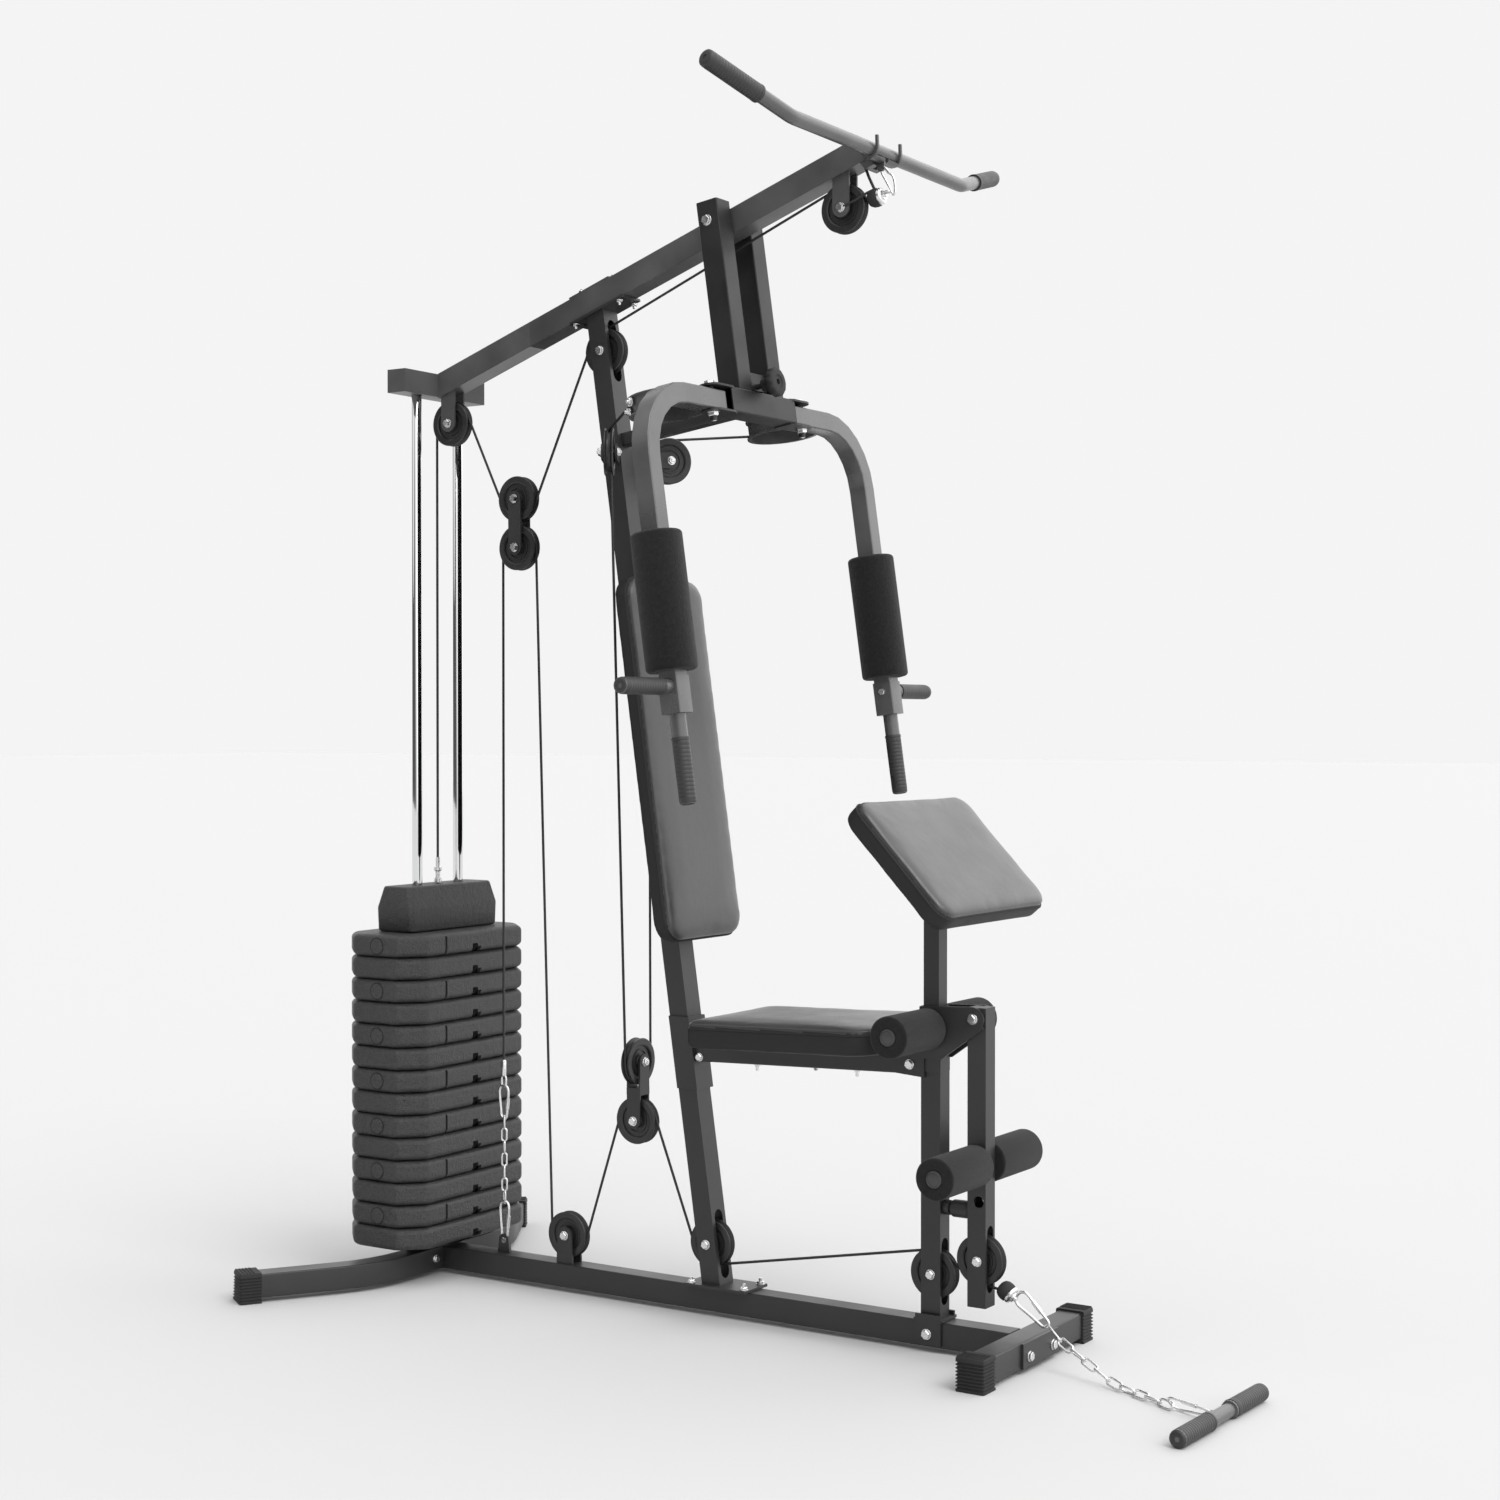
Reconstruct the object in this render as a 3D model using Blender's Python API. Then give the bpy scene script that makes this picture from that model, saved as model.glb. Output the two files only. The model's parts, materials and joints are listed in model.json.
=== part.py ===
"""Multi station home gym. Lengths are in millimetres and are scaled to metres when a mesh is made.

X runs along the machine from the weight stack to the leg station, Y across it, Z up from the floor.
"""

import math

import bmesh
import bpy
from mathutils import Matrix, Vector

MM = 0.001
ORIGIN_X = 557.8
GAP = 0.4

# Square tube of the main frame, and the floor clearance that the end caps give it.
BEAM = 45.0
WALL = 2.0
BASE_Z = 31.5
BASE_TOP = BASE_Z + BEAM / 2
REAR_X = -12.5
FOOT_X = 1279.5

# The upright leans back, and the press frame, arms and back pad share its slope.
LEAN = math.radians(8.3)
UPRIGHT_X0 = 656.6
UPRIGHT_SLOPE = math.tan(LEAN)
UPRIGHT_W = 40.0
DOWN = Vector((math.sin(LEAN), 0, -math.cos(LEAN)))
AHEAD = Vector((math.cos(LEAN), 0, math.sin(LEAN)))

# The top beam climbs to the front.
TOP_SLOPE = 0.3537
TOP_Z0 = 1733.3
TOP_END = 973.0
TOP_ANGLE = math.atan(TOP_SLOPE)
HOLDER_HALF = 121.0
HOLDER_Z = 1735.0

# Weight stack on two guide rods.
STACK_X = -22.0
ROD_Y = 62.0
ROD_R = 10.0
PLATE_X = 97.5
PLATE_Y = 188.0
PLATE_CUT = 42.0
PITCH = 43.4
STACK_Z = 74.5
PLATES = 14

# Pulleys: outer radius, groove radius, half width, bore and cable.
PULLEY_R = 44.0
GROOVE_R = 37.0
PULLEY_HALF = 9.0
PIN_R = 4.7
CABLE_R = 2.5
ROPE_R = 40.5

REAR_TOP = (18.5, 1682.5)
UPRIGHT_TOP = (396.5, 1793.0)
FRONT_TOP = (919.5, 2002.0)
FLOAT_A_TOP = (184.5, 1525.5)
FLOAT_A_LOW = (186.0, 1431.0)
BASE_PULLEY = (305.5, 107.5)
FLOAT_B_TOP = (468.0, 453.5)
FLOAT_B_LOW = (468.0, 342.0)
UPRIGHT_LOW = (637.0, 131.0)
POST_PULLEY = (1102.5, 134.0)
LEVER_PULLEY = (1193.0, 167.5)
FLY_PULLEY = (472.0, 95.5, 1590.6)
FLY_DIR = Vector((0.54, 0.8417, 0.0))

# Press frame and swinging arms.
PRESS_PIVOT = (675.0, 1997.0)
ARM_PIVOT = Vector((734.0, 149.0, 1661.5))
ARM_Y = 362.0
ARM_W = 36.0
ARM_BEND = 120.0
ARM_BACK = -7.0

# Cable drums behind the arms.
DRUM = (-65.0, 192.0)
DRUM_R = 70.0
DRUM_GROOVE = 66.0

# Front post, lever and seat.
POST_X = 1102.5
POST_W = 38.0
POST_HALF_Y = 17.0
POST_TOP = 600.0
LEVER_X = 1192.0
LEVER_W = 35.0
LEVER_PIVOT_X = 1187.0
LEVER_PIVOT_Z = 583.5
SEAT_SLOPE = 0.03


def clear_scene():
    for old in list(bpy.data.objects):
        bpy.data.objects.remove(old, do_unlink=True)


def vec(x, y, z):
    return Vector((x, y, z))


def material(name, colour, metallic, roughness):
    made = bpy.data.materials.new(name)
    made.use_nodes = True
    shader = made.node_tree.nodes["Principled BSDF"]
    shader.inputs["Base Color"].default_value = (*colour, 1)
    shader.inputs["Metallic"].default_value = metallic
    shader.inputs["Roughness"].default_value = roughness
    return made


def finish(name, colour=(0.03, 0.03, 0.03), metallic=0.0, roughness=0.45):
    obj = bpy.data.objects[name]
    obj.data.materials.clear()
    obj.data.materials.append(material(name, colour, metallic, roughness))
    return obj


def solid(name, points, faces):
    mesh = bpy.data.meshes.new(name)
    mesh.from_pydata([((p.x - ORIGIN_X) * MM, p.y * MM, p.z * MM) for p in points], [], faces)
    obj = bpy.data.objects.new(name, mesh)
    bpy.context.scene.collection.objects.link(obj)
    work = bmesh.new()
    work.from_mesh(mesh)
    bmesh.ops.recalc_face_normals(work, faces=work.faces)
    work.to_mesh(mesh)
    work.free()
    return obj


def loft(name, loops, inner=None, ring=False):
    """Skins equal loops into one closed body. A second set makes it hollow, open at both ends."""
    count = len(loops[0])
    points = [p for loop in loops for p in loop]
    faces = []
    steps = len(loops) if ring else len(loops) - 1
    for i in range(steps):
        a = i * count
        b = ((i + 1) % len(loops)) * count
        for k in range(count):
            m = (k + 1) % count
            faces.append((a + k, a + m, b + m, b + k))
    if inner is None:
        if not ring:
            faces.append(tuple(range(count)))
            faces.append(tuple(range((len(loops) - 1) * count, len(loops) * count)))
        return solid(name, points, faces)
    base = len(points)
    points += [p for loop in inner for p in loop]
    for i in range(len(inner) - 1):
        a = base + i * count
        b = a + count
        for k in range(count):
            m = (k + 1) % count
            faces.append((a + k, b + k, b + m, a + m))
    for end in (0, len(loops) - 1):
        a = end * count
        b = base + end * count
        for k in range(count):
            m = (k + 1) % count
            faces.append((a + k, a + m, b + m, b + k))
    return solid(name, points, faces)


def prism(name, outline, origin, u, v, n, start, end):
    """Extrudes a closed 2D outline, given along u and v, from start to end along n."""
    loops = []
    for along in (start, end):
        loops.append([origin + u * a + v * b + n * along for a, b in outline])
    return loft(name, loops)


def box(name, x0, x1, y0, y1, z0, z1):
    outline = [(x0, z0), (x1, z0), (x1, z1), (x0, z1)]
    return prism(name, outline, vec(0, 0, 0), vec(1, 0, 0), vec(0, 0, 1), vec(0, 1, 0), y0, y1)


def plate_xz(name, outline, y0, y1):
    return prism(name, outline, vec(0, 0, 0), vec(1, 0, 0), vec(0, 0, 1), vec(0, 1, 0), y0, y1)


def frame_of(axis):
    axis = axis.normalized()
    side = vec(0, 0, 1) if abs(axis.z) < 0.9 else vec(1, 0, 0)
    u = axis.cross(side).normalized()
    return axis, u, axis.cross(u)


def circle(centre, u, v, radius, steps, turn=0.0):
    made = []
    for k in range(steps):
        angle = 2 * math.pi * k / steps + turn
        made.append(centre + (u * math.cos(angle) + v * math.sin(angle)) * radius)
    return made


def cylinder(name, start, end, radius, steps=16):
    axis, u, v = frame_of(end - start)
    return loft(name, [circle(start, u, v, radius, steps), circle(end, u, v, radius, steps)])


def turned(name, profile, centre, axis, steps=20):
    """Turns a closed profile of (radius, height) round an axis. Radius 0 at both ends gives a solid core."""
    axis, u, v = frame_of(axis)
    cored = profile[0][0] == 0
    body = profile[1:-1] if cored else profile
    loops = [circle(centre + axis * h, u, v, r, steps) for r, h in body]
    if not cored:
        return loft(name, loops, ring=True)
    points = [p for loop in loops for p in loop]
    faces = []
    for i in range(len(loops) - 1):
        for k in range(steps):
            m = (k + 1) % steps
            faces.append((i * steps + k, i * steps + m, (i + 1) * steps + m, (i + 1) * steps + k))
    low = len(points)
    points += [centre + axis * profile[0][1], centre + axis * profile[-1][1]]
    last = (len(loops) - 1) * steps
    for k in range(steps):
        m = (k + 1) % steps
        faces.append((low, m, k))
        faces.append((low + 1, last + k, last + m))
    return solid(name, points, faces)


def chamfered(half_a, half_b, cut):
    return [
        (half_a - cut, -half_b), (half_a, -half_b + cut), (half_a, half_b - cut), (half_a - cut, half_b),
        (-half_a + cut, half_b), (-half_a, half_b - cut), (-half_a, -half_b + cut), (-half_a + cut, -half_b),
    ]


def sweep_loops(path, side, half_side, half_other, cut):
    """Loops of a bevelled rectangle along a path that lies in one plane, mitred at each bend."""
    loops = []
    for i, point in enumerate(path):
        before = (point - path[i - 1]).normalized() if i else None
        after = (path[i + 1] - point).normalized() if i + 1 < len(path) else None
        along = ((before or after) + (after or before)).normalized()
        stretch = 1.0 / along.dot(after or before)
        other = side.cross(along).normalized() * stretch
        loops.append([point + side * a + other * b for a, b in chamfered(half_side, half_other, cut)])
    return loops


def bar(name, path, side, width, depth, wall=None, cut=2.5):
    """A rectangular bar along a path: width along side, depth across it. With a wall it is an open tube."""
    outer = sweep_loops(path, side, width / 2, depth / 2, cut)
    if wall is None:
        return loft(name, outer)
    inner = sweep_loops(path, side, width / 2 - wall, depth / 2 - wall, max(cut - wall, 0.5))
    return loft(name, outer, inner)


def arc(centre, u, v, radius, start, end, steps):
    made = []
    for k in range(steps + 1):
        angle = math.radians(start + (end - start) * k / steps)
        made.append(centre + (u * math.cos(angle) + v * math.sin(angle)) * radius)
    return made


def boolean(target, tool, operation):
    modifier = target.modifiers.new("step", "BOOLEAN")
    modifier.operation = operation
    modifier.solver = "EXACT"
    modifier.object = tool
    graph = bpy.context.evaluated_depsgraph_get()
    mesh = bpy.data.meshes.new_from_object(target.evaluated_get(graph))
    target.modifiers.clear()
    target.data = mesh
    bpy.data.objects.remove(tool, do_unlink=True)
    return target


def join(target, *tools):
    for tool in tools:
        boolean(target, tool, "UNION")
    return target


def cut(target, *tools):
    for tool in tools:
        boolean(target, tool, "DIFFERENCE")
    return target


def named(obj, name):
    obj.name = name
    return obj


def rounded_rect(half_a, half_b, radii, inset, steps=5):
    """Corner radii start at (+a, -b) and go round to (+a, +b), (-a, +b), (-a, -b)."""
    corners = [(1, -1, -90), (1, 1, 0), (-1, 1, 90), (-1, -1, 180)]
    made = []
    for (sa, sb, start), radius in zip(corners, radii):
        ca = sa * (half_a - radius)
        cb = sb * (half_b - radius)
        reach = max(radius - inset, 0.5)
        for k in range(steps + 1):
            angle = math.radians(start + 90 * k / steps)
            made.append((ca + reach * math.cos(angle), cb + reach * math.sin(angle)))
    return made


def cushion(name, centre, u, v, n, half_u, half_v, thick, radii, top_edge, low_edge):
    """An upholstered pad with a rounded front edge. The centre is on its back face and n points to its front."""
    levels = [(0, low_edge), (low_edge * 0.5, low_edge * 0.2), (low_edge, 0)]
    for k in range(5):
        angle = math.radians(90 * k / 4)
        rise = top_edge * math.sin(angle)
        levels.append((thick - top_edge + rise, top_edge * (1 - math.cos(angle))))
    loops = []
    for height, inset in levels:
        outline = rounded_rect(half_u, half_v, radii, inset)
        loops.append([centre + u * a + v * b + n * height for a, b in outline])
    return loft(name, loops)


def pulley(name, centre, axis):
    profile = [
        (5.0, -PULLEY_HALF), (34.0, -PULLEY_HALF), (PULLEY_R, -8.0), (GROOVE_R, -3.5),
        (GROOVE_R, 3.5), (PULLEY_R, 8.0), (34.0, PULLEY_HALF), (5.0, PULLEY_HALF),
    ]
    turned(name, profile, centre, axis, 18)
    return finish(name, (0.02, 0.02, 0.02), 0.0, 0.4)


def stadium(cx, z0, z1, half, steps=6):
    """Outline in (y, z) of a slot with round ends."""
    made = []
    for k in range(steps + 1):
        angle = math.pi * k / steps
        made.append((cx + half * math.cos(angle), z1 - half + half * math.sin(angle)))
    for k in range(steps + 1):
        angle = math.pi + math.pi * k / steps
        made.append((cx + half * math.cos(angle), z0 + half + half * math.sin(angle)))
    return made


def slot_cutter(x0, x1, z0, z1, half):
    return prism("cut", stadium(0, z0, z1, half), vec(0, 0, 0), vec(0, 1, 0), vec(0, 0, 1), vec(1, 0, 0), x0, x1)


def lug_outline(cx, cz, half, top):
    """A hanging lug in (x, z): round below its bolt and straight up to top."""
    made = [(cx + half, top), (cx - half, top)]
    for k in range(9):
        angle = math.pi + math.pi * k / 8
        made.append((cx + half * math.cos(angle), cz + half * math.sin(angle)))
    return made


def capsule_outline(a, b, half, steps=8):
    """Outline round two centres a and b, given as (x, z)."""
    start = math.atan2(b[1] - a[1], b[0] - a[0])
    made = []
    for centre, turn in ((b, start - math.pi / 2), (a, start + math.pi / 2)):
        for k in range(steps + 1):
            angle = turn + math.pi * k / steps
            made.append((centre[0] + half * math.cos(angle), centre[1] + half * math.sin(angle)))
    return made


def pin(x, z, half, radius=PIN_R):
    return cylinder("pin", vec(x, -half, z), vec(x, half, z), radius, 12)


def upright_x(z):
    return UPRIGHT_X0 - UPRIGHT_SLOPE * z


def top_z(x):
    return TOP_Z0 + TOP_SLOPE * x


# ---------------------------------------------------------------- base frame


def cap_at(name, end, along, side, flare=0.0):
    """A rubber end cap that reaches the floor. The tube ends at end and runs along."""
    outer = []
    for reach, half, top, low in ((-34, 26, 57, 0.6), (-32, 27, 57.5, 0), (6, 27, 57.5, 0), (9, 25, 55.5, 0)):
        at = end + along * reach
        spread = 1.5 if reach > 0 else 0
        outer.append([
            vec(at.x, at.y, 0) + side * a + vec(0, 0, 1) * b
            for a, b in (
                (half + spread, low), (half + spread, low + 6), (half, top - 3), (half - 3, top),
                (-half + 3, top), (-half, top - 3), (-half - spread - flare, low + 6), (-half - spread - flare, low),
            )
        ])
    made = loft(name, outer)
    pocket = bar("pocket", [end - along * 50, end + along * GAP], side, BEAM + 0.8, BEAM + 0.8)
    cut(made, pocket)
    return finish(name, (0.03, 0.03, 0.03), 0.0, 0.75)


def rear_path():
    """Centre line of the rear stabiliser: straight in the middle, swept back at both ends."""
    sweep = 33.0
    radius = 250.0
    half = []
    centre = vec(REAR_X - radius, 118, BASE_Z)
    for k in range(5):
        angle = math.radians(sweep * k / 4)
        half.append(centre + vec(math.cos(angle), math.sin(angle), 0) * radius)
    out = vec(-math.sin(math.radians(sweep)), math.cos(math.radians(sweep)), 0)
    half.append(half[-1] + out * 188)
    near = [vec(p.x, -p.y, p.z) for p in reversed(half)]
    return near + half, out


def make_base():
    base = bar("base_beam", [vec(10.4, 0, BASE_Z), vec(FOOT_X - BEAM / 2 - GAP, 0, BASE_Z)],
               vec(0, 1, 0), BEAM, BEAM, WALL)
    bx, bz = BASE_PULLEY
    for side in (-1, 1):
        y0, y1 = sorted((side * 11.5, side * 15.5))
        outline = [(bx - 19, BASE_TOP - 1.5), (bx + 19, BASE_TOP - 1.5)]
        outline += [(bx + 17 * math.cos(math.radians(a)), bz + 17 * math.sin(math.radians(a)))
                    for a in range(0, 181, 20)]
        join(base, plate_xz("cheek", outline, y0, y1))
    join(base, pin(bx, bz, 14.0))
    tab = plate_xz("tab", [(132, BASE_TOP - 1.5), (162, BASE_TOP - 1.5), (158, 84), (151, 90), (143, 90), (136, 84)],
                   -3, 3)
    cut(tab, cylinder("hole", vec(147, -9, 78), vec(147, 9, 78), 6.5, 12))
    join(base, tab)
    finish("base_beam")

    path, out = rear_path()
    rear = bar("rear_stabiliser", path, vec(0, 0, 1), BEAM, BEAM, WALL)
    for side in (-1, 1):
        cut(rear, cylinder("hole", vec(STACK_X, side * ROD_Y, BASE_Z), vec(STACK_X, side * ROD_Y, 70),
                           ROD_R + 0.4, 16))
    finish("rear_stabiliser")
    front = bar("front_stabiliser", [vec(FOOT_X, -203, BASE_Z), vec(FOOT_X, 203, BASE_Z)],
                vec(0, 0, 1), BEAM, BEAM, WALL)
    face = FOOT_X + BEAM / 2
    join(front, box("plate", face - 1.5, face + 4.5, -68, 68, 10.5, 52.5))
    finish("front_stabiliser")

    far_out = vec(out.x, out.y, 0)
    near_out = vec(out.x, -out.y, 0)
    cap_at("rear_cap_far", path[-1], far_out, vec(far_out.y, -far_out.x, 0), 12)
    cap_at("rear_cap_near", path[0], near_out, vec(-near_out.y, near_out.x, 0), 12)
    cap_at("front_cap_far", vec(FOOT_X, 203, BASE_Z), vec(0, 1, 0), vec(1, 0, 0))
    cap_at("front_cap_near", vec(FOOT_X, -203, BASE_Z), vec(0, -1, 0), vec(1, 0, 0))


# ---------------------------------------------------------------- upright


def leaning_box(name, front, back, half_y, low, high, cut_top=None):
    """A block in the lean of the upright, from back to front of its centre line, between two heights."""
    top_front = high if cut_top is None else None
    if cut_top is None:
        outline = [(upright_x(low) + back, low), (upright_x(low) + front, low),
                   (upright_x(top_front) + front, top_front), (upright_x(top_front) + back, top_front)]
    else:
        outline = [(upright_x(low) + back, low), (upright_x(low) + front, low)]
        for shift in (front, back):
            x = (UPRIGHT_X0 + shift - UPRIGHT_SLOPE * (TOP_Z0 - cut_top)) / (1 + UPRIGHT_SLOPE * TOP_SLOPE)
            outline.append((x, top_z(x) - cut_top))
    return plate_xz(name, outline, -half_y, half_y)


def make_upright():
    half = UPRIGHT_W / 2
    flange_low = BASE_TOP + GAP
    post = leaning_box("main_upright", half, -half, BEAM / 2, flange_low + 3, None, cut_top=4.0)
    cut(post, leaning_box("bore", half - WALL, -half + WALL, BEAM / 2 - WALL, 20, 1990))
    foot_x = upright_x(BASE_TOP)
    join(post, box("foot", foot_x - 50, foot_x + 84, -38, 38, flange_low, flange_low + 5))
    head = []
    for x, lift in ((331, 0.6), (452, 0.6), (452 + 1.7, 5.9), (331 + 1.7, 5.9)):
        head.append((x, top_z(x) - lift))
    join(post, plate_xz("head", head, -30, 30))
    join(post, leaning_box("lug", half + 12.5, half - 1, BEAM / 2, 1190, 1250))
    join(post, leaning_box("lug", half + 12.5, half - 1, BEAM / 2, 790, 850))
    root = vec(upright_x(1623.5) + half - 1.5, 0, 1623.5)
    join(post, bar("stop", [root, root + AHEAD * 259], vec(0, 1, 0), 25, 25))
    for side in (-1, 1):
        run = vec(FLY_DIR.x, side * FLY_DIR.y, 0)
        across = vec(run.y, -run.x, 0)
        centre = vec(FLY_PULLEY[0], side * FLY_PULLEY[1], FLY_PULLEY[2])
        for shift in (-13.0, 13.0):
            outline = [(-94, -14), (-94, 14)]
            outline += [(15 * math.sin(math.radians(a)), 15 * math.cos(math.radians(a))) for a in range(0, 181, 30)]
            join(post, prism("cheek", outline, centre, run, vec(0, 0, 1), across, shift - 2, shift + 2))
        axle = cylinder("pin", centre - across * 13, centre + across * 13, PIN_R, 12)
        join(post, axle)
    cut(post, slot_cutter(340, 460, 1735, 1853, 13))
    cut(post, slot_cutter(600, 680, 69, 194, 13))
    join(post, pin(UPRIGHT_TOP[0], UPRIGHT_TOP[1], 21.5))
    join(post, pin(UPRIGHT_LOW[0], UPRIGHT_LOW[1], 21.5))
    finish("main_upright")


# ---------------------------------------------------------------- top beam


def make_top_beam():
    rise = BEAM / math.cos(TOP_ANGLE)
    back = BEAM * math.sin(TOP_ANGLE)
    outline = [(-1.0, top_z(-1.0)), (TOP_END, top_z(TOP_END)),
               (TOP_END - back, top_z(TOP_END) + BEAM * math.cos(TOP_ANGLE)), (-1.0, top_z(-1.0) + rise)]
    beam = plate_xz("top_beam", outline, -BEAM / 2, BEAM / 2)
    thin = WALL / math.cos(TOP_ANGLE)
    bore = [(4.0, top_z(4.0) + thin), (TOP_END + 40, top_z(TOP_END + 40) + thin),
            (TOP_END + 40, top_z(TOP_END + 40) + rise - thin), (4.0, top_z(4.0) + rise - thin)]
    cut(beam, plate_xz("bore", bore, -BEAM / 2 + WALL, BEAM / 2 - WALL))
    holder = box("holder", -45, 0, -HOLDER_HALF, HOLDER_HALF, HOLDER_Z, HOLDER_Z + BEAM)
    cut(holder, box("bore", -43, -2, -HOLDER_HALF + 3, HOLDER_HALF - 3, HOLDER_Z + 2, HOLDER_Z + BEAM - 2))
    for side in (-1, 1):
        cut(holder, cylinder("hole", vec(STACK_X, side * ROD_Y, 1720), vec(STACK_X, side * ROD_Y, 1756),
                             ROD_R + 0.4, 16))
    join(beam, holder)
    for cx, cz in (REAR_TOP, FRONT_TOP):
        for side in (-1, 1):
            y0, y1 = sorted((side * 11.5, side * 15.5))
            reach = top_z(cx) + 6
            join(beam, plate_xz("cheek", lug_outline(cx, cz, 17, reach), y0, y1))
        join(beam, pin(cx, cz, 14.0))
    crest = [(338 - back, top_z(338) + BEAM * math.cos(TOP_ANGLE) - 1.5)]
    crest += [(430 - back, top_z(430) + BEAM * math.cos(TOP_ANGLE) - 1.5)]
    crest += [(430 - back - 2, crest[1][1] + 6.0), (338 - back - 2, crest[0][1] + 6.0)]
    join(beam, plate_xz("clamp", crest, -19, 19))
    # A cradle of two hooks on a bent web holds the lat bar at the front end.
    cx, cz = 993.0, 2091.0
    for side in (-1, 1):
        hook = [(cx + r * math.cos(math.radians(a)), cz + r * math.sin(math.radians(a)))
                for r, run in ((18.5, range(190, 361, 34)), (13.2, range(360, 189, -34))) for a in run]
        split = len(hook) // 2
        hook = hook[:split] + [(cx + 17.5, cz + 22), (cx + 12.7, cz + 22)] + hook[split:]
        y0, y1 = sorted((side * 38.5, side * 43.5))
        join(beam, plate_xz("hook", hook, y0, y1))
    web = [(cx + r * math.cos(math.radians(a)), cz + r * math.sin(math.radians(a)))
           for r, run in ((18.5, range(200, 316, 23)), (14.0, range(315, 199, -23))) for a in run]
    join(beam, plate_xz("web", web, -40, 40))
    join(beam, plate_xz("seat", [(962, 2074), (972, 2062), (990, 2068), (976, 2090), (958, 2090)], -21, 21))
    cut(beam, box("notch", 979, 1016, -6, 6, 2050, 2083))
    cut(beam, cylinder("hole", vec(PRESS_PIVOT[0], -40, PRESS_PIVOT[1]), vec(PRESS_PIVOT[0], 40, PRESS_PIVOT[1]),
                       10.4, 16))
    finish("top_beam")


# ---------------------------------------------------------------- weight stack


def octagon(half_x, half_y, cut_by, z):
    return [vec(STACK_X + a, b, z) for a, b in chamfered(half_x, half_y, cut_by)]


def plate_loops(low, high):
    loops = []
    for z, inset in ((low, 5.0), (low + 3.0, 0.6), (high - 4.0, 0.6), (high, 5.0)):
        loops.append(octagon(PLATE_X - inset, PLATE_Y - inset, PLATE_CUT, z))
    return loops


def bore_stack(obj, low, high):
    for y, radius in ((-ROD_Y, ROD_R + 1.0), (0, 10.5), (ROD_Y, ROD_R + 1.0)):
        cut(obj, cylinder("bore", vec(STACK_X, y, low - 5), vec(STACK_X, y, high + 5), radius, 16))
    return obj


def make_stack():
    for side, tail in ((-1, "near"), (1, "far")):
        name = "guide_rod_" + tail
        cylinder(name, vec(STACK_X, side * ROD_Y, 16), vec(STACK_X, side * ROD_Y, 1772), ROD_R, 20)
        finish(name, (0.8, 0.8, 0.8), 1.0, 0.12)
        name = "stack_cushion_" + tail
        profile = [(ROD_R + 0.6, 0), (21, 0), (22, 2), (22, 17), (20, STACK_Z - BASE_TOP - 2 * GAP),
                   (ROD_R + 0.6, STACK_Z - BASE_TOP - 2 * GAP)]
        turned(name, profile, vec(STACK_X, side * ROD_Y, BASE_TOP + GAP), vec(0, 0, 1), 18)
        finish(name, (0.02, 0.02, 0.02), 0.0, 0.8)
    # The top plate is single, and those below are joined through their bottom faces.
    low = STACK_Z + PITCH * (PLATES - 1)
    bore_stack(loft("weight_plate_top", plate_loops(low + 0.4, low + PITCH)), low, low + PITCH)
    finish("weight_plate_top", (0.05, 0.05, 0.052), 0.0, 0.6)
    loops = []
    for index in range(PLATES - 1):
        low = STACK_Z + PITCH * index
        loops += plate_loops(low + (1.2 if index else 0), low + PITCH)
    top = STACK_Z + PITCH * (PLATES - 1)
    bore_stack(loft("weight_plates_lower", loops), STACK_Z, top)
    finish("weight_plates_lower", (0.05, 0.05, 0.052), 0.0, 0.6)

    base = STACK_Z + PITCH * PLATES + 0.8
    loops = []
    for z, hx, hy, cut_by in ((base, 46, 129, 5), (base + 4, 46.5, 130.5, 6), (base + 46, 47, 133, 7),
                              (base + 88, 35, 127, 6)):
        loops.append(octagon(hx, hy, cut_by, z))
    head = loft("weight_head", loops)
    for side in (-1, 1):
        cut(head, cylinder("bore", vec(STACK_X, side * ROD_Y, base - 5), vec(STACK_X, side * ROD_Y, base + 99),
                           ROD_R + 1.0, 16))
    join(head, cylinder("stem", vec(STACK_X, 0, STACK_Z + 6), vec(STACK_X, 0, base + 4), 9.0, 16))
    join(head, cylinder("boss", vec(STACK_X, 0, base + 80), vec(STACK_X, 0, base + 96), 11.0, 16))
    cut(head, cylinder("bore", vec(STACK_X, 0, base + 76), vec(STACK_X, 0, base + 110), 3.4, 12))
    finish("weight_head", (0.05, 0.05, 0.052), 0.0, 0.6)


# ---------------------------------------------------------------- pulleys and cables


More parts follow.
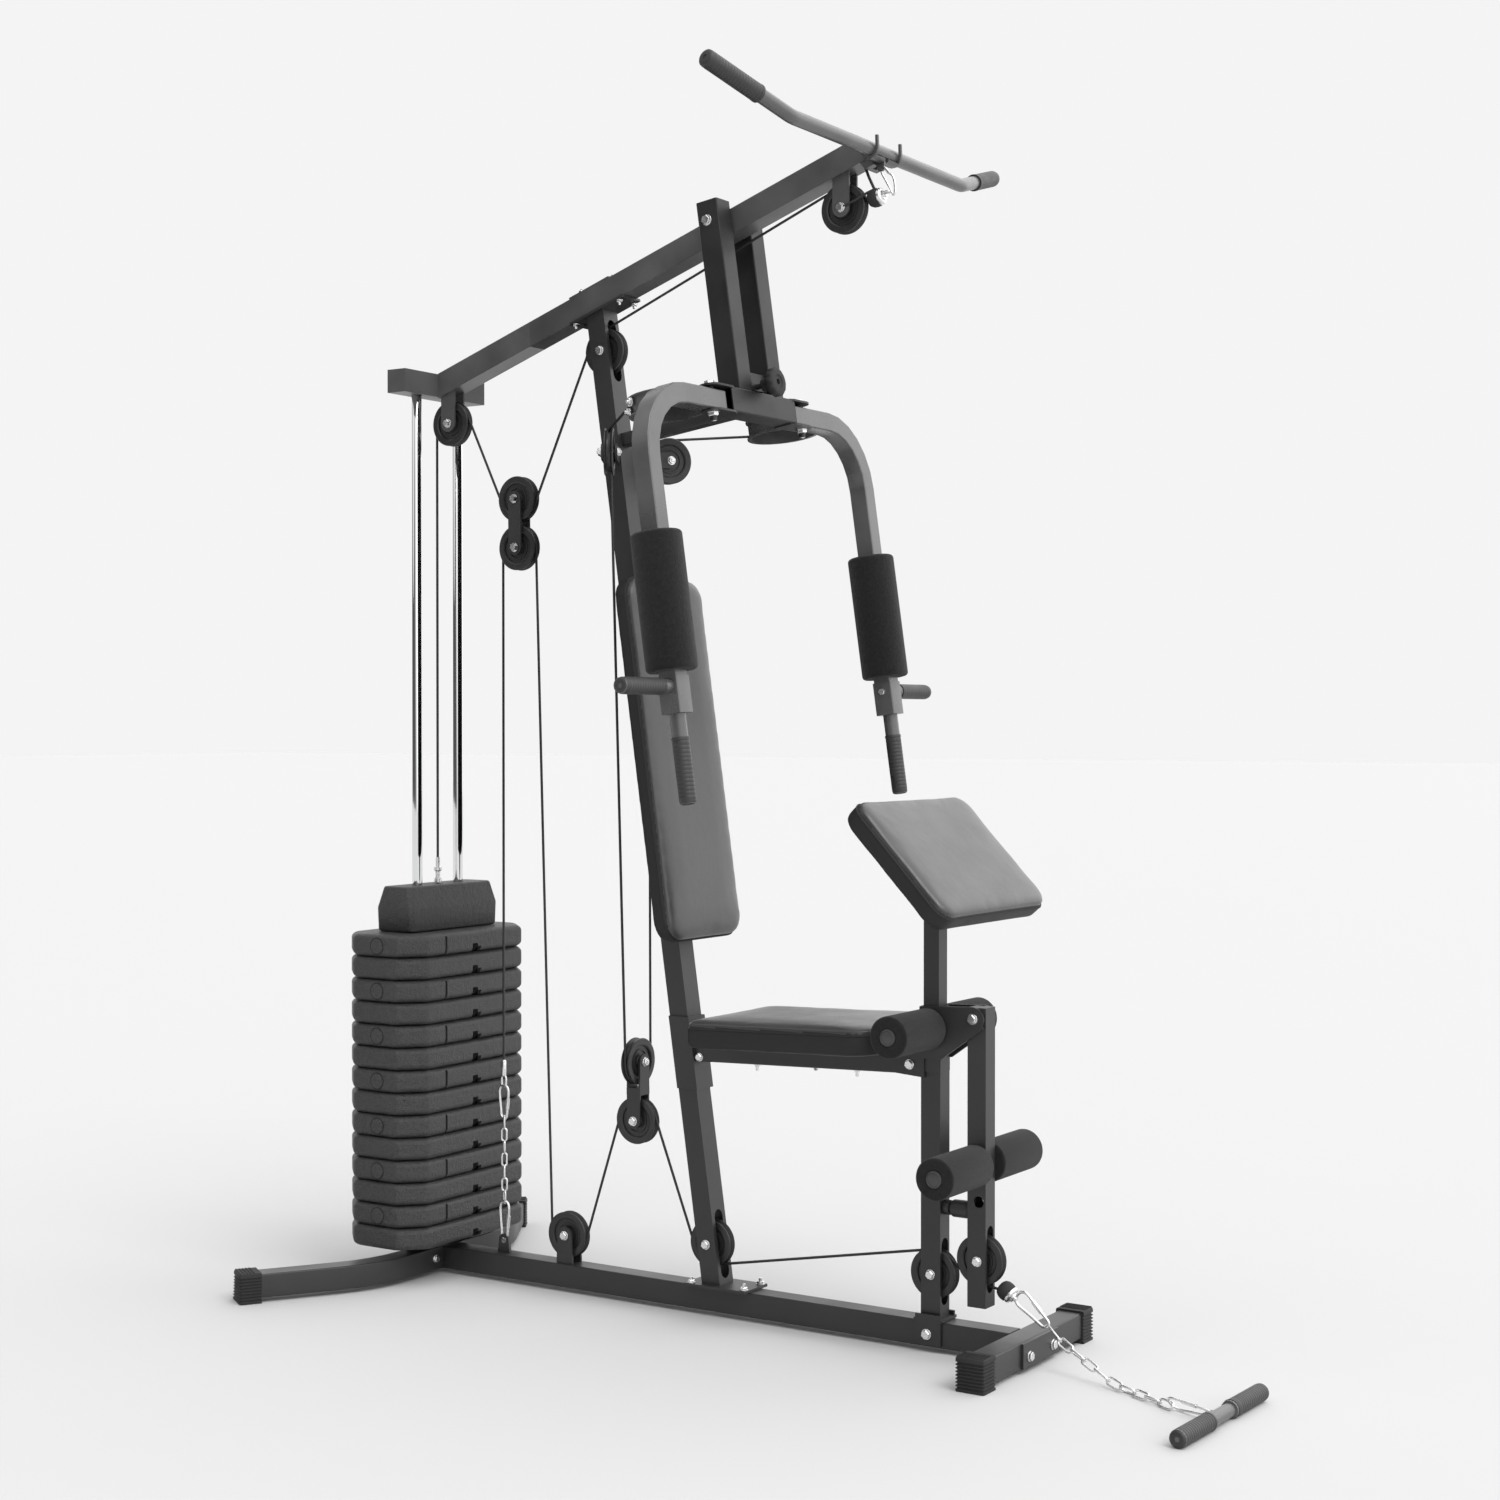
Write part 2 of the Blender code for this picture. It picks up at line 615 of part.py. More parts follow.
def make_pulleys():
    flat = vec(0, 1, 0)
    places = (
        ("pulley_rear_top", REAR_TOP), ("pulley_upright_top", UPRIGHT_TOP), ("pulley_front_top", FRONT_TOP),
        ("pulley_float_a_top", FLOAT_A_TOP), ("pulley_float_a_low", FLOAT_A_LOW), ("pulley_base", BASE_PULLEY),
        ("pulley_float_b_low", FLOAT_B_LOW), ("pulley_upright_low", UPRIGHT_LOW),
        ("pulley_post", POST_PULLEY), ("pulley_lever", LEVER_PULLEY),
    )
    for name, (x, z) in places:
        pulley(name, vec(x, 0, z), flat)
    pulley("pulley_float_b_top", vec(FLOAT_B_TOP[0], 0, FLOAT_B_TOP[1]), vec(1, 0, 0))
    for side, tail in ((-1, "near"), (1, "far")):
        run = vec(FLY_DIR.x, side * FLY_DIR.y, 0)
        pulley("pulley_fly_" + tail, vec(FLY_PULLEY[0], side * FLY_PULLEY[1], FLY_PULLEY[2]),
               vec(run.y, -run.x, 0))

    made = None
    for side in (-1, 1):
        y0, y1 = sorted((side * 11.5, side * 15.5))
        cheek = plate_xz("cheek", capsule_outline(FLOAT_A_TOP, FLOAT_A_LOW, 15), y0, y1)
        made = named(cheek, "float_a_frame") if made is None else join(made, cheek)
        if side < 0:
            join(made, pin(*FLOAT_A_TOP, 14.0), pin(*FLOAT_A_LOW, 14.0))
    finish("float_a_frame")

    x, z_top = FLOAT_B_TOP
    z_low = FLOAT_B_LOW[1]
    block = box("float_b_frame", x - 15.5, x + 15.5, -15.5, 15.5, z_low + 49, z_top - 49)
    for side in (-1, 1):
        a0, a1 = sorted((side * 11.5, side * 15.5))
        low = [(15 * math.cos(math.radians(a)), z_low + 15 * math.sin(math.radians(a))) for a in range(180, 361, 20)]
        low += [(15, z_top - 50), (-15, z_top - 50)]
        join(block, prism("cheek", low, vec(x, 0, 0), vec(1, 0, 0), vec(0, 0, 1), vec(0, 1, 0), a0, a1))
        top = [(15 * math.cos(math.radians(a)), z_top + 15 * math.sin(math.radians(a))) for a in range(0, 181, 20)]
        top += [(-15, z_low + 50), (15, z_low + 50)]
        join(block, prism("cheek", top, vec(x, 0, 0), vec(0, 1, 0), vec(0, 0, 1), vec(1, 0, 0), a0, a1))
    join(block, pin(x, z_low, 14.0))
    join(block, cylinder("pin", vec(x - 14, 0, z_top), vec(x + 14, 0, z_top), PIN_R, 12))
    finish("float_b_frame")


def belt(stops):
    """Cable line in XZ round stops of (x, z, radius, turn): turn is +1 with the centre on the left of travel."""
    path = []
    arrive = None
    for i, (x, z, radius, turn) in enumerate(stops):
        centre = Vector((x, z))
        leave = None
        if i + 1 < len(stops):
            nx, nz, nr, nt = stops[i + 1]
            gap = Vector((nx, nz)) - centre
            ahead = gap.normalized()
            left = Vector((-ahead.y, ahead.x))
            lean = (nt * nr - turn * radius) / gap.length
            normal = ahead * lean + left * math.sqrt(1 - lean * lean)
            leave = centre - normal * turn * radius
            next_arrive = Vector((nx, nz)) - normal * nt * nr
        if radius == 0:
            path.append(centre)
        else:
            a0 = math.atan2(arrive.y - z, arrive.x - x)
            a1 = math.atan2(leave.y - z, leave.x - x)
            span = (a1 - a0) % (2 * math.pi) if turn > 0 else -((a0 - a1) % (2 * math.pi))
            steps = max(2, round(abs(span) / math.radians(20)))
            for k in range(steps + 1):
                angle = a0 + span * k / steps
                path.append(Vector((x + radius * math.cos(angle), z + radius * math.sin(angle))))
        if leave is not None:
            arrive = next_arrive
    return [vec(p.x, 0, p.y) for p in path]


def rope(name, path, radius, colour, metallic, roughness, resolution=2):
    curve = bpy.data.curves.new(name, "CURVE")
    curve.dimensions = "3D"
    curve.bevel_depth = radius * MM
    curve.bevel_resolution = resolution
    curve.use_fill_caps = True
    spline = curve.splines.new("POLY")
    spline.points.add(len(path) - 1)
    for point, place in zip(spline.points, path):
        point.co = ((place.x - ORIGIN_X) * MM, place.y * MM, place.z * MM, 1)
    obj = bpy.data.objects.new(name, curve)
    bpy.context.scene.collection.objects.link(obj)
    return finish(name, colour, metallic, roughness)


LAT_BALL = (981.0, 2014.5)
LOW_BALL = (1239.0, 119.0)


def make_cables():
    r = ROPE_R
    lat = belt([
        (LAT_BALL[0] - 16, LAT_BALL[1] - 1.5, 0, 0), (*FRONT_TOP, r, 1), (*UPRIGHT_TOP, r, 1), (*FLOAT_A_TOP, r, -1),
        (*REAR_TOP, r, 1), (STACK_X, STACK_Z + PITCH * PLATES + 82, 0, 0),
    ])
    lat.insert(0, vec(LAT_BALL[0], 0, LAT_BALL[1]))
    rope("lat_cable", lat[:-1], CABLE_R, (0.02, 0.02, 0.02), 0, 0.5)
    # The drop to the stack is its own piece, because it shortens as the stack rises.
    cylinder("lat_cable_drop", lat[-2] - vec(0, 0, GAP), lat[-1], CABLE_R, 8)
    finish("lat_cable_drop", (0.02, 0.02, 0.02), 0, 0.5)
    low = belt([
        (*LOW_BALL, 0, 0), (*LEVER_PULLEY, r, -1), (*POST_PULLEY, r, 1), (*UPRIGHT_LOW, r, -1),
        (*FLOAT_B_LOW, r, 1), (*BASE_PULLEY, r, -1), (*FLOAT_A_LOW, r, 1), (FLOAT_A_LOW[0] - r, 428, 0, 0),
    ])
    rope("low_cable", low, CABLE_R, (0.02, 0.02, 0.02), 0, 0.5)

    half = [tilted(DRUM[1], 0, DRUM[0]) + AHEAD * -48.5 + vec(0, 49.6, 0)]
    centre = vec(FLY_PULLEY[0], FLY_PULLEY[1], FLY_PULLEY[2])
    half += arc(centre, FLY_DIR, vec(0, 0, 1), r, 84, 180, 5)
    bottom = vec(FLOAT_B_TOP[0], 0, FLOAT_B_TOP[1])
    half += arc(bottom, vec(0, 1, 0), vec(0, 0, 1), r, 0, -90, 5)
    near = [vec(p.x, -p.y, p.z) for p in half[:-1]]
    rope("fly_cable", half + list(reversed(near)), CABLE_R, (0.02, 0.02, 0.02), 0, 0.5)

    ball = [(3.0, -14), (9, -14), (14, -8), (15, 0), (12.5, 7), (12.5, 13), (7, 14), (7, 20), (0, 20)]
    for name, line in (("lat_ball_stop", lat), ("low_ball_stop", low)):
        axis = (line[0] - line[1]).normalized()
        turned(name, [(0, 0.4), (3.0, 0.4)] + ball, line[0], axis, 16)
        finish(name, (0.03, 0.03, 0.03), 0.0, 0.6)

    x = FLOAT_A_LOW[0] - r
    steps = 22
    chain = [vec(x + (147 - x) * k / steps, 0, 424 - (424 - 93) * k / steps) for k in range(steps + 1)]
    rope("anchor_chain", chain, 6.0, (0.7, 0.7, 0.7), 1.0, 0.25)
    start = low[0] + (low[0] - low[1]).normalized() * 20.6
    slope = vec(0.82, 0, -0.5724)
    across = vec(0.5724, 0, 0.82)
    centre = start + slope * 36.5
    ring = []
    for along, half_width in ((-30, 6), (-24.5, 10.5), (-12.5, 13), (3, 14.5), (17, 14.5), (27, 10.5), (31, 5)):
        ring.append(centre + slope * along + across * half_width)
    for along, half_width in ((31, 5), (27, 10.5), (17, 14.5), (3, 14.5), (-12.5, 13), (-24.5, 10.5), (-30, 6)):
        ring.append(centre + slope * along - across * half_width)
    rope("row_carabiner", ring, 3.5, (0.8, 0.8, 0.8), 1.0, 0.2).data.splines[0].use_cyclic_u = True
    tip = centre + slope * 34.5
    knots = [tip + vec(6, -1.5, -6), vec(1349, -14, 53), vec(1368, -22, 44.5), vec(1396, -33, 35), vec(1424, -45, 25),
             vec(1452, -56, 14.5), vec(1480, -68, 8.5), vec(1510, -80, 7), vec(1545, -97, 7), vec(1594, -122, 7),
             vec(1622, -138, 8.5), vec(1642, -145.5, 13), vec(1660.4, -146.6, 14.6)]
    drop = []
    for a, b in zip(knots, knots[1:]):
        parts = max(1, round((b - a).length / 22))
        drop += [a.lerp(b, k / parts) for k in range(parts)]
    rope("row_chain", drop + [knots[-1]], 6.0, (0.7, 0.7, 0.7), 1.0, 0.25)


# ---------------------------------------------------------------- seat, pads and front post


def seat_z(x):
    return 509.0 + SEAT_SLOPE * (x - 663.0)


def make_seat():
    depth = 40.0
    flat = vec(0, 1, 0)
    rear_x = 598.0
    front_x = POST_X - POST_W / 2 - 3
    tube = bar("seat_frame", [vec(rear_x, 0, seat_z(rear_x) - 1 - depth / 2),
                              vec(front_x, 0, seat_z(front_x) - 1 - depth / 2)], flat, 38, depth, WALL)
    front = UPRIGHT_W / 2 + GAP
    join(tube, leaning_box("web", front + 4, front - 1, 27, 415, 548))
    cut(tube, leaning_box("clear", front, -30, 40, 390, 570))
    for side in (-1, 1):
        cheek = leaning_box("cheek", front + 2, -UPRIGHT_W / 2, 2.1, 415, 548)
        cheek.location.y = side * 24.9 * MM
        bpy.context.view_layer.update()
        join(tube, cheek)
    finish("seat_frame")

    tilt = math.atan(SEAT_SLOPE)
    ahead = vec(math.cos(tilt), 0, math.sin(tilt))
    above = vec(-math.sin(tilt), 0, math.cos(tilt))
    middle = 862.0
    cushion("seat_pad", vec(middle, 0, seat_z(middle)), ahead, vec(0, 1, 0), above, 199, 150, 50,
            (55, 55, 26, 26), 15, 4)
    finish("seat_pad", (0.03, 0.03, 0.03), 0.0, 0.4)

    rise = vec(-math.sin(LEAN), 0, math.cos(LEAN))
    z_mid = 1022.0
    x_mid = upright_x(z_mid) + (UPRIGHT_W / 2 + 12.5) + 0.8
    cushion("back_pad", vec(x_mid, 0, z_mid), rise, vec(0, -1, 0), AHEAD, 343, 125, 43,
            (42, 42, 42, 42), 13, 4)
    finish("back_pad", (0.03, 0.03, 0.03), 0.0, 0.4)

    slope = math.radians(-46.8)
    along = vec(math.cos(slope), 0, math.sin(slope))
    up = vec(-math.sin(slope), 0, math.cos(slope))
    top = vec(1144, 0, 868.7)
    back = top - up * 46
    cushion("preacher_pad", back, along, vec(0, 1, 0), up, 135, 200, 46, (36, 36, 36, 36), 15, 4)
    finish("preacher_pad", (0.03, 0.03, 0.03), 0.0, 0.4)

    foot = back - up * 6.0
    reach = foot.z - (POST_X - foot.x) * math.tan(-slope)
    half = 15.0
    outline = [(POST_X - half, 330), (POST_X + half, 330),
               (POST_X + half, reach - half * math.tan(-slope) + 1), (POST_X - half, reach + half * math.tan(-slope) + 1)]
    post = plate_xz("preacher_post", outline, -half, half)
    cut(post, box("bore", POST_X - 13, POST_X + 13, -13, 13, 300, 812))
    mount = vec(POST_X, 0, reach)
    join(post, prism("mount", [(-60, 0), (60, 0), (60, 5.4), (-60, 5.4)], mount, along, up, vec(0, 1, 0), -55, 55))
    finish("preacher_post")


def make_front_post():
    half = POST_W / 2
    low = BASE_TOP + GAP
    post = box("front_post", POST_X - half, POST_X + half, -POST_HALF_Y, POST_HALF_Y, low + 2, POST_TOP)
    cut(post, box("bore", POST_X - half + 1.6, POST_X + half - 1.6, -POST_HALF_Y + 1.6, POST_HALF_Y - 1.6,
                  20, POST_TOP + 20))
    join(post, box("foot", POST_X - 28, POST_X + 28, -27, 27, low, low + 5))
    for side in (-1, 1):
        y0, y1 = sorted((side * (BEAM / 2 + GAP), side * (BEAM / 2 + GAP + 4)))
        join(post, box("saddle", POST_X - 25, POST_X + 25, y0, y1, 13, low + 12))
        y0, y1 = sorted((side * (POST_HALF_Y - 0.5), side * 20.0))
        join(post, box("pad", POST_X - half + 1, POST_X + half - 1, y0, y1, 486, 594))
        y0, y1 = sorted((side * 19.0, side * 23.0))
        ear = [(POST_X - half, 524), (POST_X - half + 6, 509), (POST_X + half + 3, 509), (LEVER_PIVOT_X + 20, 568)]
        ear += [(LEVER_PIVOT_X + 21 * math.cos(math.radians(a)), LEVER_PIVOT_Z + 21 * math.sin(math.radians(a)))
                for a in range(-30, 91, 30)]
        ear += [(POST_X - half, LEVER_PIVOT_Z + 16)]
        join(post, plate_xz("ear", ear, y0, y1))
        lug = [(POST_X - half - 46, 480), (POST_X - half + 9, 476), (POST_X - half + 9, 518), (POST_X - half - 46, 515)]
        join(post, plate_xz("lug", lug, y0, y1))
    cut(post, slot_cutter(POST_X - 30, POST_X + 30, 80, 197, 12))
    join(post, pin(*POST_PULLEY, 16.5))
    join(post, cylinder("pivot", vec(LEVER_PIVOT_X, -22, LEVER_PIVOT_Z), vec(LEVER_PIVOT_X, 22, LEVER_PIVOT_Z), 6.0, 14))
    for side in (-1, 1):
        join(post, cylinder("bar", vec(POST_X, side * 22.0, 562), vec(POST_X, side * 159, 562), 12.5, 16))
    finish("front_post")


def roller(name, x, z, side, inner, outer):
    profile = [(0, outer + 4), (29, outer + 4), (36, outer - 1), (36, inner + 1), (35, inner), (12.9, inner),
               (12.9, outer - 5), (0, outer - 5)]
    turned(name, [(0, outer - 5)] + [(12.9, outer - 5), (12.9, inner), (35, inner), (36, inner + 1),
                                     (36, outer - 1), (29, outer + 4)] + [(0, outer + 4)],
           vec(x, 0, z), vec(0, side, 0), 18)
    return finish(name, (0.015, 0.015, 0.015), 0.0, 0.95)


def make_lever():
    half = LEVER_W / 2
    lever = box("leg_lever", LEVER_X - half, LEVER_X + half, -half, half, 88, 603)
    cut(lever, box("bore", LEVER_X - half + WALL, LEVER_X + half - WALL, -half + WALL, half - WALL, 60, 561))
    cut(lever, cylinder("bore", vec(LEVER_PIVOT_X, -40, LEVER_PIVOT_Z), vec(LEVER_PIVOT_X, 40, LEVER_PIVOT_Z), 6.4, 14))
    cut(lever, slot_cutter(LEVER_X - 30, LEVER_X + 30, 112, 228, 11.5))
    cut(lever, cylinder("hole", vec(1196, -40, 270), vec(1196, 40, 270), 10, 20))
    join(lever, pin(*LEVER_PULLEY, 16.5))
    for side in (-1, 1):
        join(lever, cylinder("bar", vec(LEVER_X, side * 16.5, 333), vec(LEVER_X, side * 161, 333), 12.5, 16))
    finish("leg_lever")
    for side, tail in ((-1, "near"), (1, "far")):
        roller("upper_roller_" + tail, POST_X, 562.0, side, 25.5, 165)
        roller("lower_roller_" + tail, LEVER_X, 333.0, side, 19.5, 167)
    span = LEVER_X - LEVER_W / 2 - POST_X - POST_W / 2 - 2 * GAP
    stud = [(0, 0), (8.5, 0), (8.5, 15), (13.5, 16), (15.5, span - 2), (13.5, span), (0, span)]
    turned("lever_bumper", stud, vec(POST_X + POST_W / 2 + GAP, 0, 251), vec(1, 0, 0), 16)
    finish("lever_bumper", (0.02, 0.02, 0.02), 0.0, 0.8)


# ---------------------------------------------------------------- press frame and arms


def tilted(y, down, ahead=0.0):
    """A point in the plane of the arms: y across, down along the lean and ahead of the arm pivots."""
    return vec(ARM_PIVOT.x, y, ARM_PIVOT.z) + DOWN * down + AHEAD * ahead


def make_press():
    top = vec(PRESS_PIVOT[0], 0, PRESS_PIVOT[1]) - DOWN * 36 + AHEAD * 2.5
    low = vec(PRESS_PIVOT[0], 0, PRESS_PIVOT[1]) + DOWN * 316 + AHEAD * 2.5
    frame = bar("press_frame", [tilted(-106, -3.5, -5), tilted(106, -3.5, -5)], AHEAD, BEAM, BEAM, 2.5)
    for side in (-1, 1):
        shift = vec(0, side * 52.5, 0)
        join(frame, bar("strut", [top + shift, low + shift], vec(0, 1, 0), 45, 45, None))
    for down, thick in ((-26.5, 3.6), (18.4, 3.6)):
        for side in (-1, 1):
            ear = [(-22, 90), (14, 90), (20, 104), (20, 149)]
            ear += [(20 * math.cos(math.radians(a)), 149 + 20 * math.sin(math.radians(a))) for a in range(20, 181, 20)]
            ear += [(-22, 104)]
            origin = vec(ARM_PIVOT.x, 0, ARM_PIVOT.z)
            join(frame, prism("ear", ear, origin, AHEAD, vec(0, side, 0), DOWN, down, down + thick))
    for side in (-1, 1):
        y = side * ARM_PIVOT.y
        join(frame, cylinder("pin", tilted(y, -24.5), tilted(y, 38), 6.0, 14))
    strap = vec(PRESS_PIVOT[0], 0, PRESS_PIVOT[1]) + DOWN * 297
    join(frame, bar("strap", [strap - DOWN * 20 + AHEAD * 14, strap + DOWN * 12 + AHEAD * 14], vec(0, 1, 0), 78, 5))
    hub = strap + AHEAD * 14 + DOWN * 4.5
    cut(frame, cylinder("hole", hub - AHEAD * 20, hub + AHEAD * 20, 5.6, 14))
    axle = cylinder("axle", vec(PRESS_PIVOT[0], -60, PRESS_PIVOT[1]), vec(PRESS_PIVOT[0], 60, PRESS_PIVOT[1]), 10, 16)
    join(frame, axle)
    finish("press_frame")

    knob = [(0, -34), (5.0, -34), (5.0, 16), (12, 16), (12, 31), (25, 33), (26, 36), (26, 44), (23, 47), (0, 47)]
    turned("lock_knob", knob, hub, AHEAD, 18)
    finish("lock_knob", (0.02, 0.02, 0.02), 0.0, 0.5)

    for side, tail in ((-1, "near"), (1, "far")):
        make_arm(side, tail)


def make_arm(side, tail):
    name = "press_arm_" + tail
    path = [tilted(side * 118, 0, ARM_BACK), tilted(side * (ARM_Y - ARM_BEND), 0, ARM_BACK)]
    for k in range(1, 6):
        angle = math.radians(90 * k / 6)
        path.append(tilted(side * (ARM_Y - ARM_BEND + ARM_BEND * math.sin(angle)), ARM_BEND * (1 - math.cos(angle)),
                           ARM_BACK))
    path.append(tilted(side * ARM_Y, ARM_BEND, ARM_BACK))
    path.append(tilted(side * ARM_Y, 500, ARM_BACK))
    arm = bar(name, path, AHEAD, ARM_W, ARM_W, WALL)
    y = side * ARM_PIVOT.y
    join(arm, cylinder("sleeve", tilted(y, -17.5), tilted(y, 17.5), 10.0, 16))
    rim = [(0, -17), (DRUM_R, -17), (DRUM_R, -14.5), (DRUM_GROOVE, -12), (DRUM_GROOVE, 12), (DRUM_R, 14.5),
           (DRUM_R, 17), (DRUM_R - 8, 17), (DRUM_R - 8, -13.5), (0, -13.5)]
    drum = turned("drum", rim, tilted(side * DRUM[1], 0, DRUM[0]), DOWN, 26)
    edge = ARM_BACK - ARM_W / 2 + 1.2
    outline = [(edge, side * 90), (edge + 90, side * 90), (edge + 90, side * 300), (edge, side * 300)]
    cut(drum, prism("clear", outline, tilted(0, 0), AHEAD, vec(0, 1, 0), DOWN, -40, 40))
    join(arm, drum)
    cut(arm, cylinder("bore", tilted(y, -30), tilted(y, 60), 6.5, 14))
    x = ARM_BACK
    join(arm, bar("block", [tilted(side * ARM_Y, 497, x), tilted(side * ARM_Y, 560, x)], AHEAD, 40, 40, None))
    join(arm, cylinder("grip", tilted(side * ARM_Y, 514, x), tilted(side * 516, 514, x), 13.5, 16))
    join(arm, cylinder("grip", tilted(side * ARM_Y, 550, x), tilted(side * ARM_Y, 712, x), 14.0, 16))
    finish(name)

    name = "arm_foam_" + tail
    steps = 24
    rings = []
    bores = []
    half = ARM_W / 2 + GAP
    for down, radius in ((251, 41.5), (254, 44.5), (485, 44.5), (488, 41.5)):
        centre = tilted(side * ARM_Y, down, ARM_BACK)
        rings.append(circle(centre, AHEAD, vec(0, 1, 0), radius, steps))
        bore = []
        for k in range(steps):
            angle = 2 * math.pi * k / steps
            reach = half / max(abs(math.cos(angle)), abs(math.sin(angle)))
            bore.append(centre + (AHEAD * math.cos(angle) + vec(0, 1, 0) * math.sin(angle)) * reach)
        bores.append(bore)
    loft(name, rings, bores)
    finish(name, (0.015, 0.015, 0.015), 0.0, 0.95)


# ---------------------------------------------------------------- loose bars


def round_bar(name, stations, steps=16):
    """A round bar through stations of (point, radius), mitred at each bend."""
    loops = []
    points = [p for p, _ in stations]
    side = None
    for i, (point, radius) in enumerate(stations):
        before = point - points[i - 1] if i else None
        after = points[i + 1] - point if i + 1 < len(points) else None
        along = ((before or after).normalized() + (after or before).normalized()).normalized()
        if side is None:
            side = along.cross(vec(0, 0, 1)).normalized()
        else:
            side = (side - along * side.dot(along)).normalized()
        loops.append(circle(point, side, along.cross(side), radius, steps))
    return loft(name, loops)


def make_bars():
    flat = vec(993.0, 0, 2091.5)
    bend = vec(993.0, 300, 2091.5)
    end = vec(957.0, 500, 2147.0)
    out = (end - bend).normalized()
    half = [(vec(993, 0, 2091.5), 12.5), (vec(993, 268, 2091.5), 12.5), (bend - vec(0.5, 8, -0.8), 12.5),
            (bend + out * 16, 12.5)]
    start = bend + out * 84
    half += [(start, 12.5), (start + out * 0.6, 15.5), (end - out * 3, 15.5), (end, 12.5)]
    stations = [(vec(p.x, -p.y, p.z), r) for p, r in reversed(half[1:])] + half[1:]
    made = round_bar("lat_bar", stations)
    lug = plate_xz("lug", [(985, 2080), (1001, 2080), (1000, 2064), (993, 2058), (986, 2064)], -3, 3)
    cut(lug, cylinder("hole", vec(993, -9, 2068), vec(993, 9, 2068), 4.2, 12))
    join(made, lug)
    finish("lat_bar", (0.03, 0.03, 0.03), 0.0, 0.4)

    near = vec(1678.0, -304, 14.6)
    far = vec(1692.7, 9, 14.6)
    run = (far - near).normalized()
    length = (far - near).length
    stations = []
    for along, radius in ((0, 12), (3, 14.5), (124, 14.5), (124.6, 11), (length - 124.6, 11), (length - 124, 14.5),
                          (length - 3, 14.5), (length, 12)):
        stations.append((near + run * along, radius))
    made = round_bar("row_bar", stations)
    hub = near + run * (length / 2)
    back = vec(-run.y, run.x, 0)
    lug = prism("lug", [(5, -7), (18, -7), (24, -3), (24, 3), (18, 7), (5, 7)], hub, back, run, vec(0, 0, 1), -3, 3)
    cut(lug, cylinder("hole", hub + back * 17 - vec(0, 0, 9), hub + back * 17 + vec(0, 0, 9), 3.6, 12))
    join(made, lug)
    finish("row_bar", (0.03, 0.03, 0.03), 0.0, 0.4)


clear_scene()
make_base()
make_upright()
make_top_beam()
make_stack()
make_pulleys()
make_cables()
make_seat()
make_front_post()
make_lever()
make_press()
make_bars()
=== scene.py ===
"""Looks of a multi station home gym: pads, foam, plates, chain, cables and bolts round the CAD frame."""

import json
from math import atan, cos, exp, pi, radians, sin, sqrt, tan

import bmesh
import bpy
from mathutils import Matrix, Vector
from mathutils.bvhtree import BVHTree

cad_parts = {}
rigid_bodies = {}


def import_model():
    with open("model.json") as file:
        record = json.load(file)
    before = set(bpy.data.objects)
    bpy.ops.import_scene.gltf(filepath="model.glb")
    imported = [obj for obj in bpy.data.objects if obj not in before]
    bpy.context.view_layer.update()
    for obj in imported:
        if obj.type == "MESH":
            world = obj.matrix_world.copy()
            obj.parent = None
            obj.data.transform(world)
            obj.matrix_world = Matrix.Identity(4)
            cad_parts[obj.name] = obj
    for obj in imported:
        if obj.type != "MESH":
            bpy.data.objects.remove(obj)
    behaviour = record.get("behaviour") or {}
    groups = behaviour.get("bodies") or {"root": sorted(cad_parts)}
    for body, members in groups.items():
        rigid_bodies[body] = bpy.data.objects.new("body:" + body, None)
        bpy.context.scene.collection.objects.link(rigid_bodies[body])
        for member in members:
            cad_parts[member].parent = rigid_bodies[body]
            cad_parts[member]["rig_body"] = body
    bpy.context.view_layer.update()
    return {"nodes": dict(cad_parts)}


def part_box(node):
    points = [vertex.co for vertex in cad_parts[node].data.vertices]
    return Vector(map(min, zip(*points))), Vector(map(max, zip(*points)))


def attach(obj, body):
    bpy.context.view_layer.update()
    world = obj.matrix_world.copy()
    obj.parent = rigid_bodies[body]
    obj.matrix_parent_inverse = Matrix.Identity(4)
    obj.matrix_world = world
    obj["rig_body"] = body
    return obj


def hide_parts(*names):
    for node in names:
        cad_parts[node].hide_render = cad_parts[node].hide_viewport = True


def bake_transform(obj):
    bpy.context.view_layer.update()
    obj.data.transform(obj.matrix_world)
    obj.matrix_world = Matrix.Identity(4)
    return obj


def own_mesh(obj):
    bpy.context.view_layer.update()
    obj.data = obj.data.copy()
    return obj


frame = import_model()
NODES = frame["nodes"]
BODY = {node: obj["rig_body"] for node, obj in NODES.items()}

SCENE = bpy.context.scene

# Places are in millimetres from the drawing's origin, and the frame's origin is this far along X.
MM = 0.001
ORIGIN_X = 557.8
X = Vector((1, 0, 0))
Y = Vector((0, 1, 0))
Z = Vector((0, 0, 1))

LEAN = radians(8.3)
DOWN = Vector((sin(LEAN), 0, -cos(LEAN)))
AHEAD = Vector((cos(LEAN), 0, sin(LEAN)))
ARM_PIVOT = (734.0, 149.0, 1661.5)
ARM_Y = 362.0
ARM_BACK = -7.0
DRUM = (-65.0, 192.0)
FLY_DIR = (0.54, 0.8417)
TOP_SLOPE = 0.3537
TOP_Z0 = 1733.3

STACK_X = -22.0
PLATES = 14
PITCH = 43.4
STACK_Z = 74.5
PLATE_X = 97.5
PLATE_Y = 188.0
PLATE_CUT = 42.0

PRESS_PIVOT = (675.0, 1997.0)
UPRIGHT_X0 = 656.6
LEVER_PIVOT = (1187.0, 583.5)
SEAT_SLOPE = 0.03
SIDES = ((-1, "near"), (1, "far"))


def at(x, y, z):
    return Vector(((x - ORIGIN_X) * MM, y * MM, z * MM))


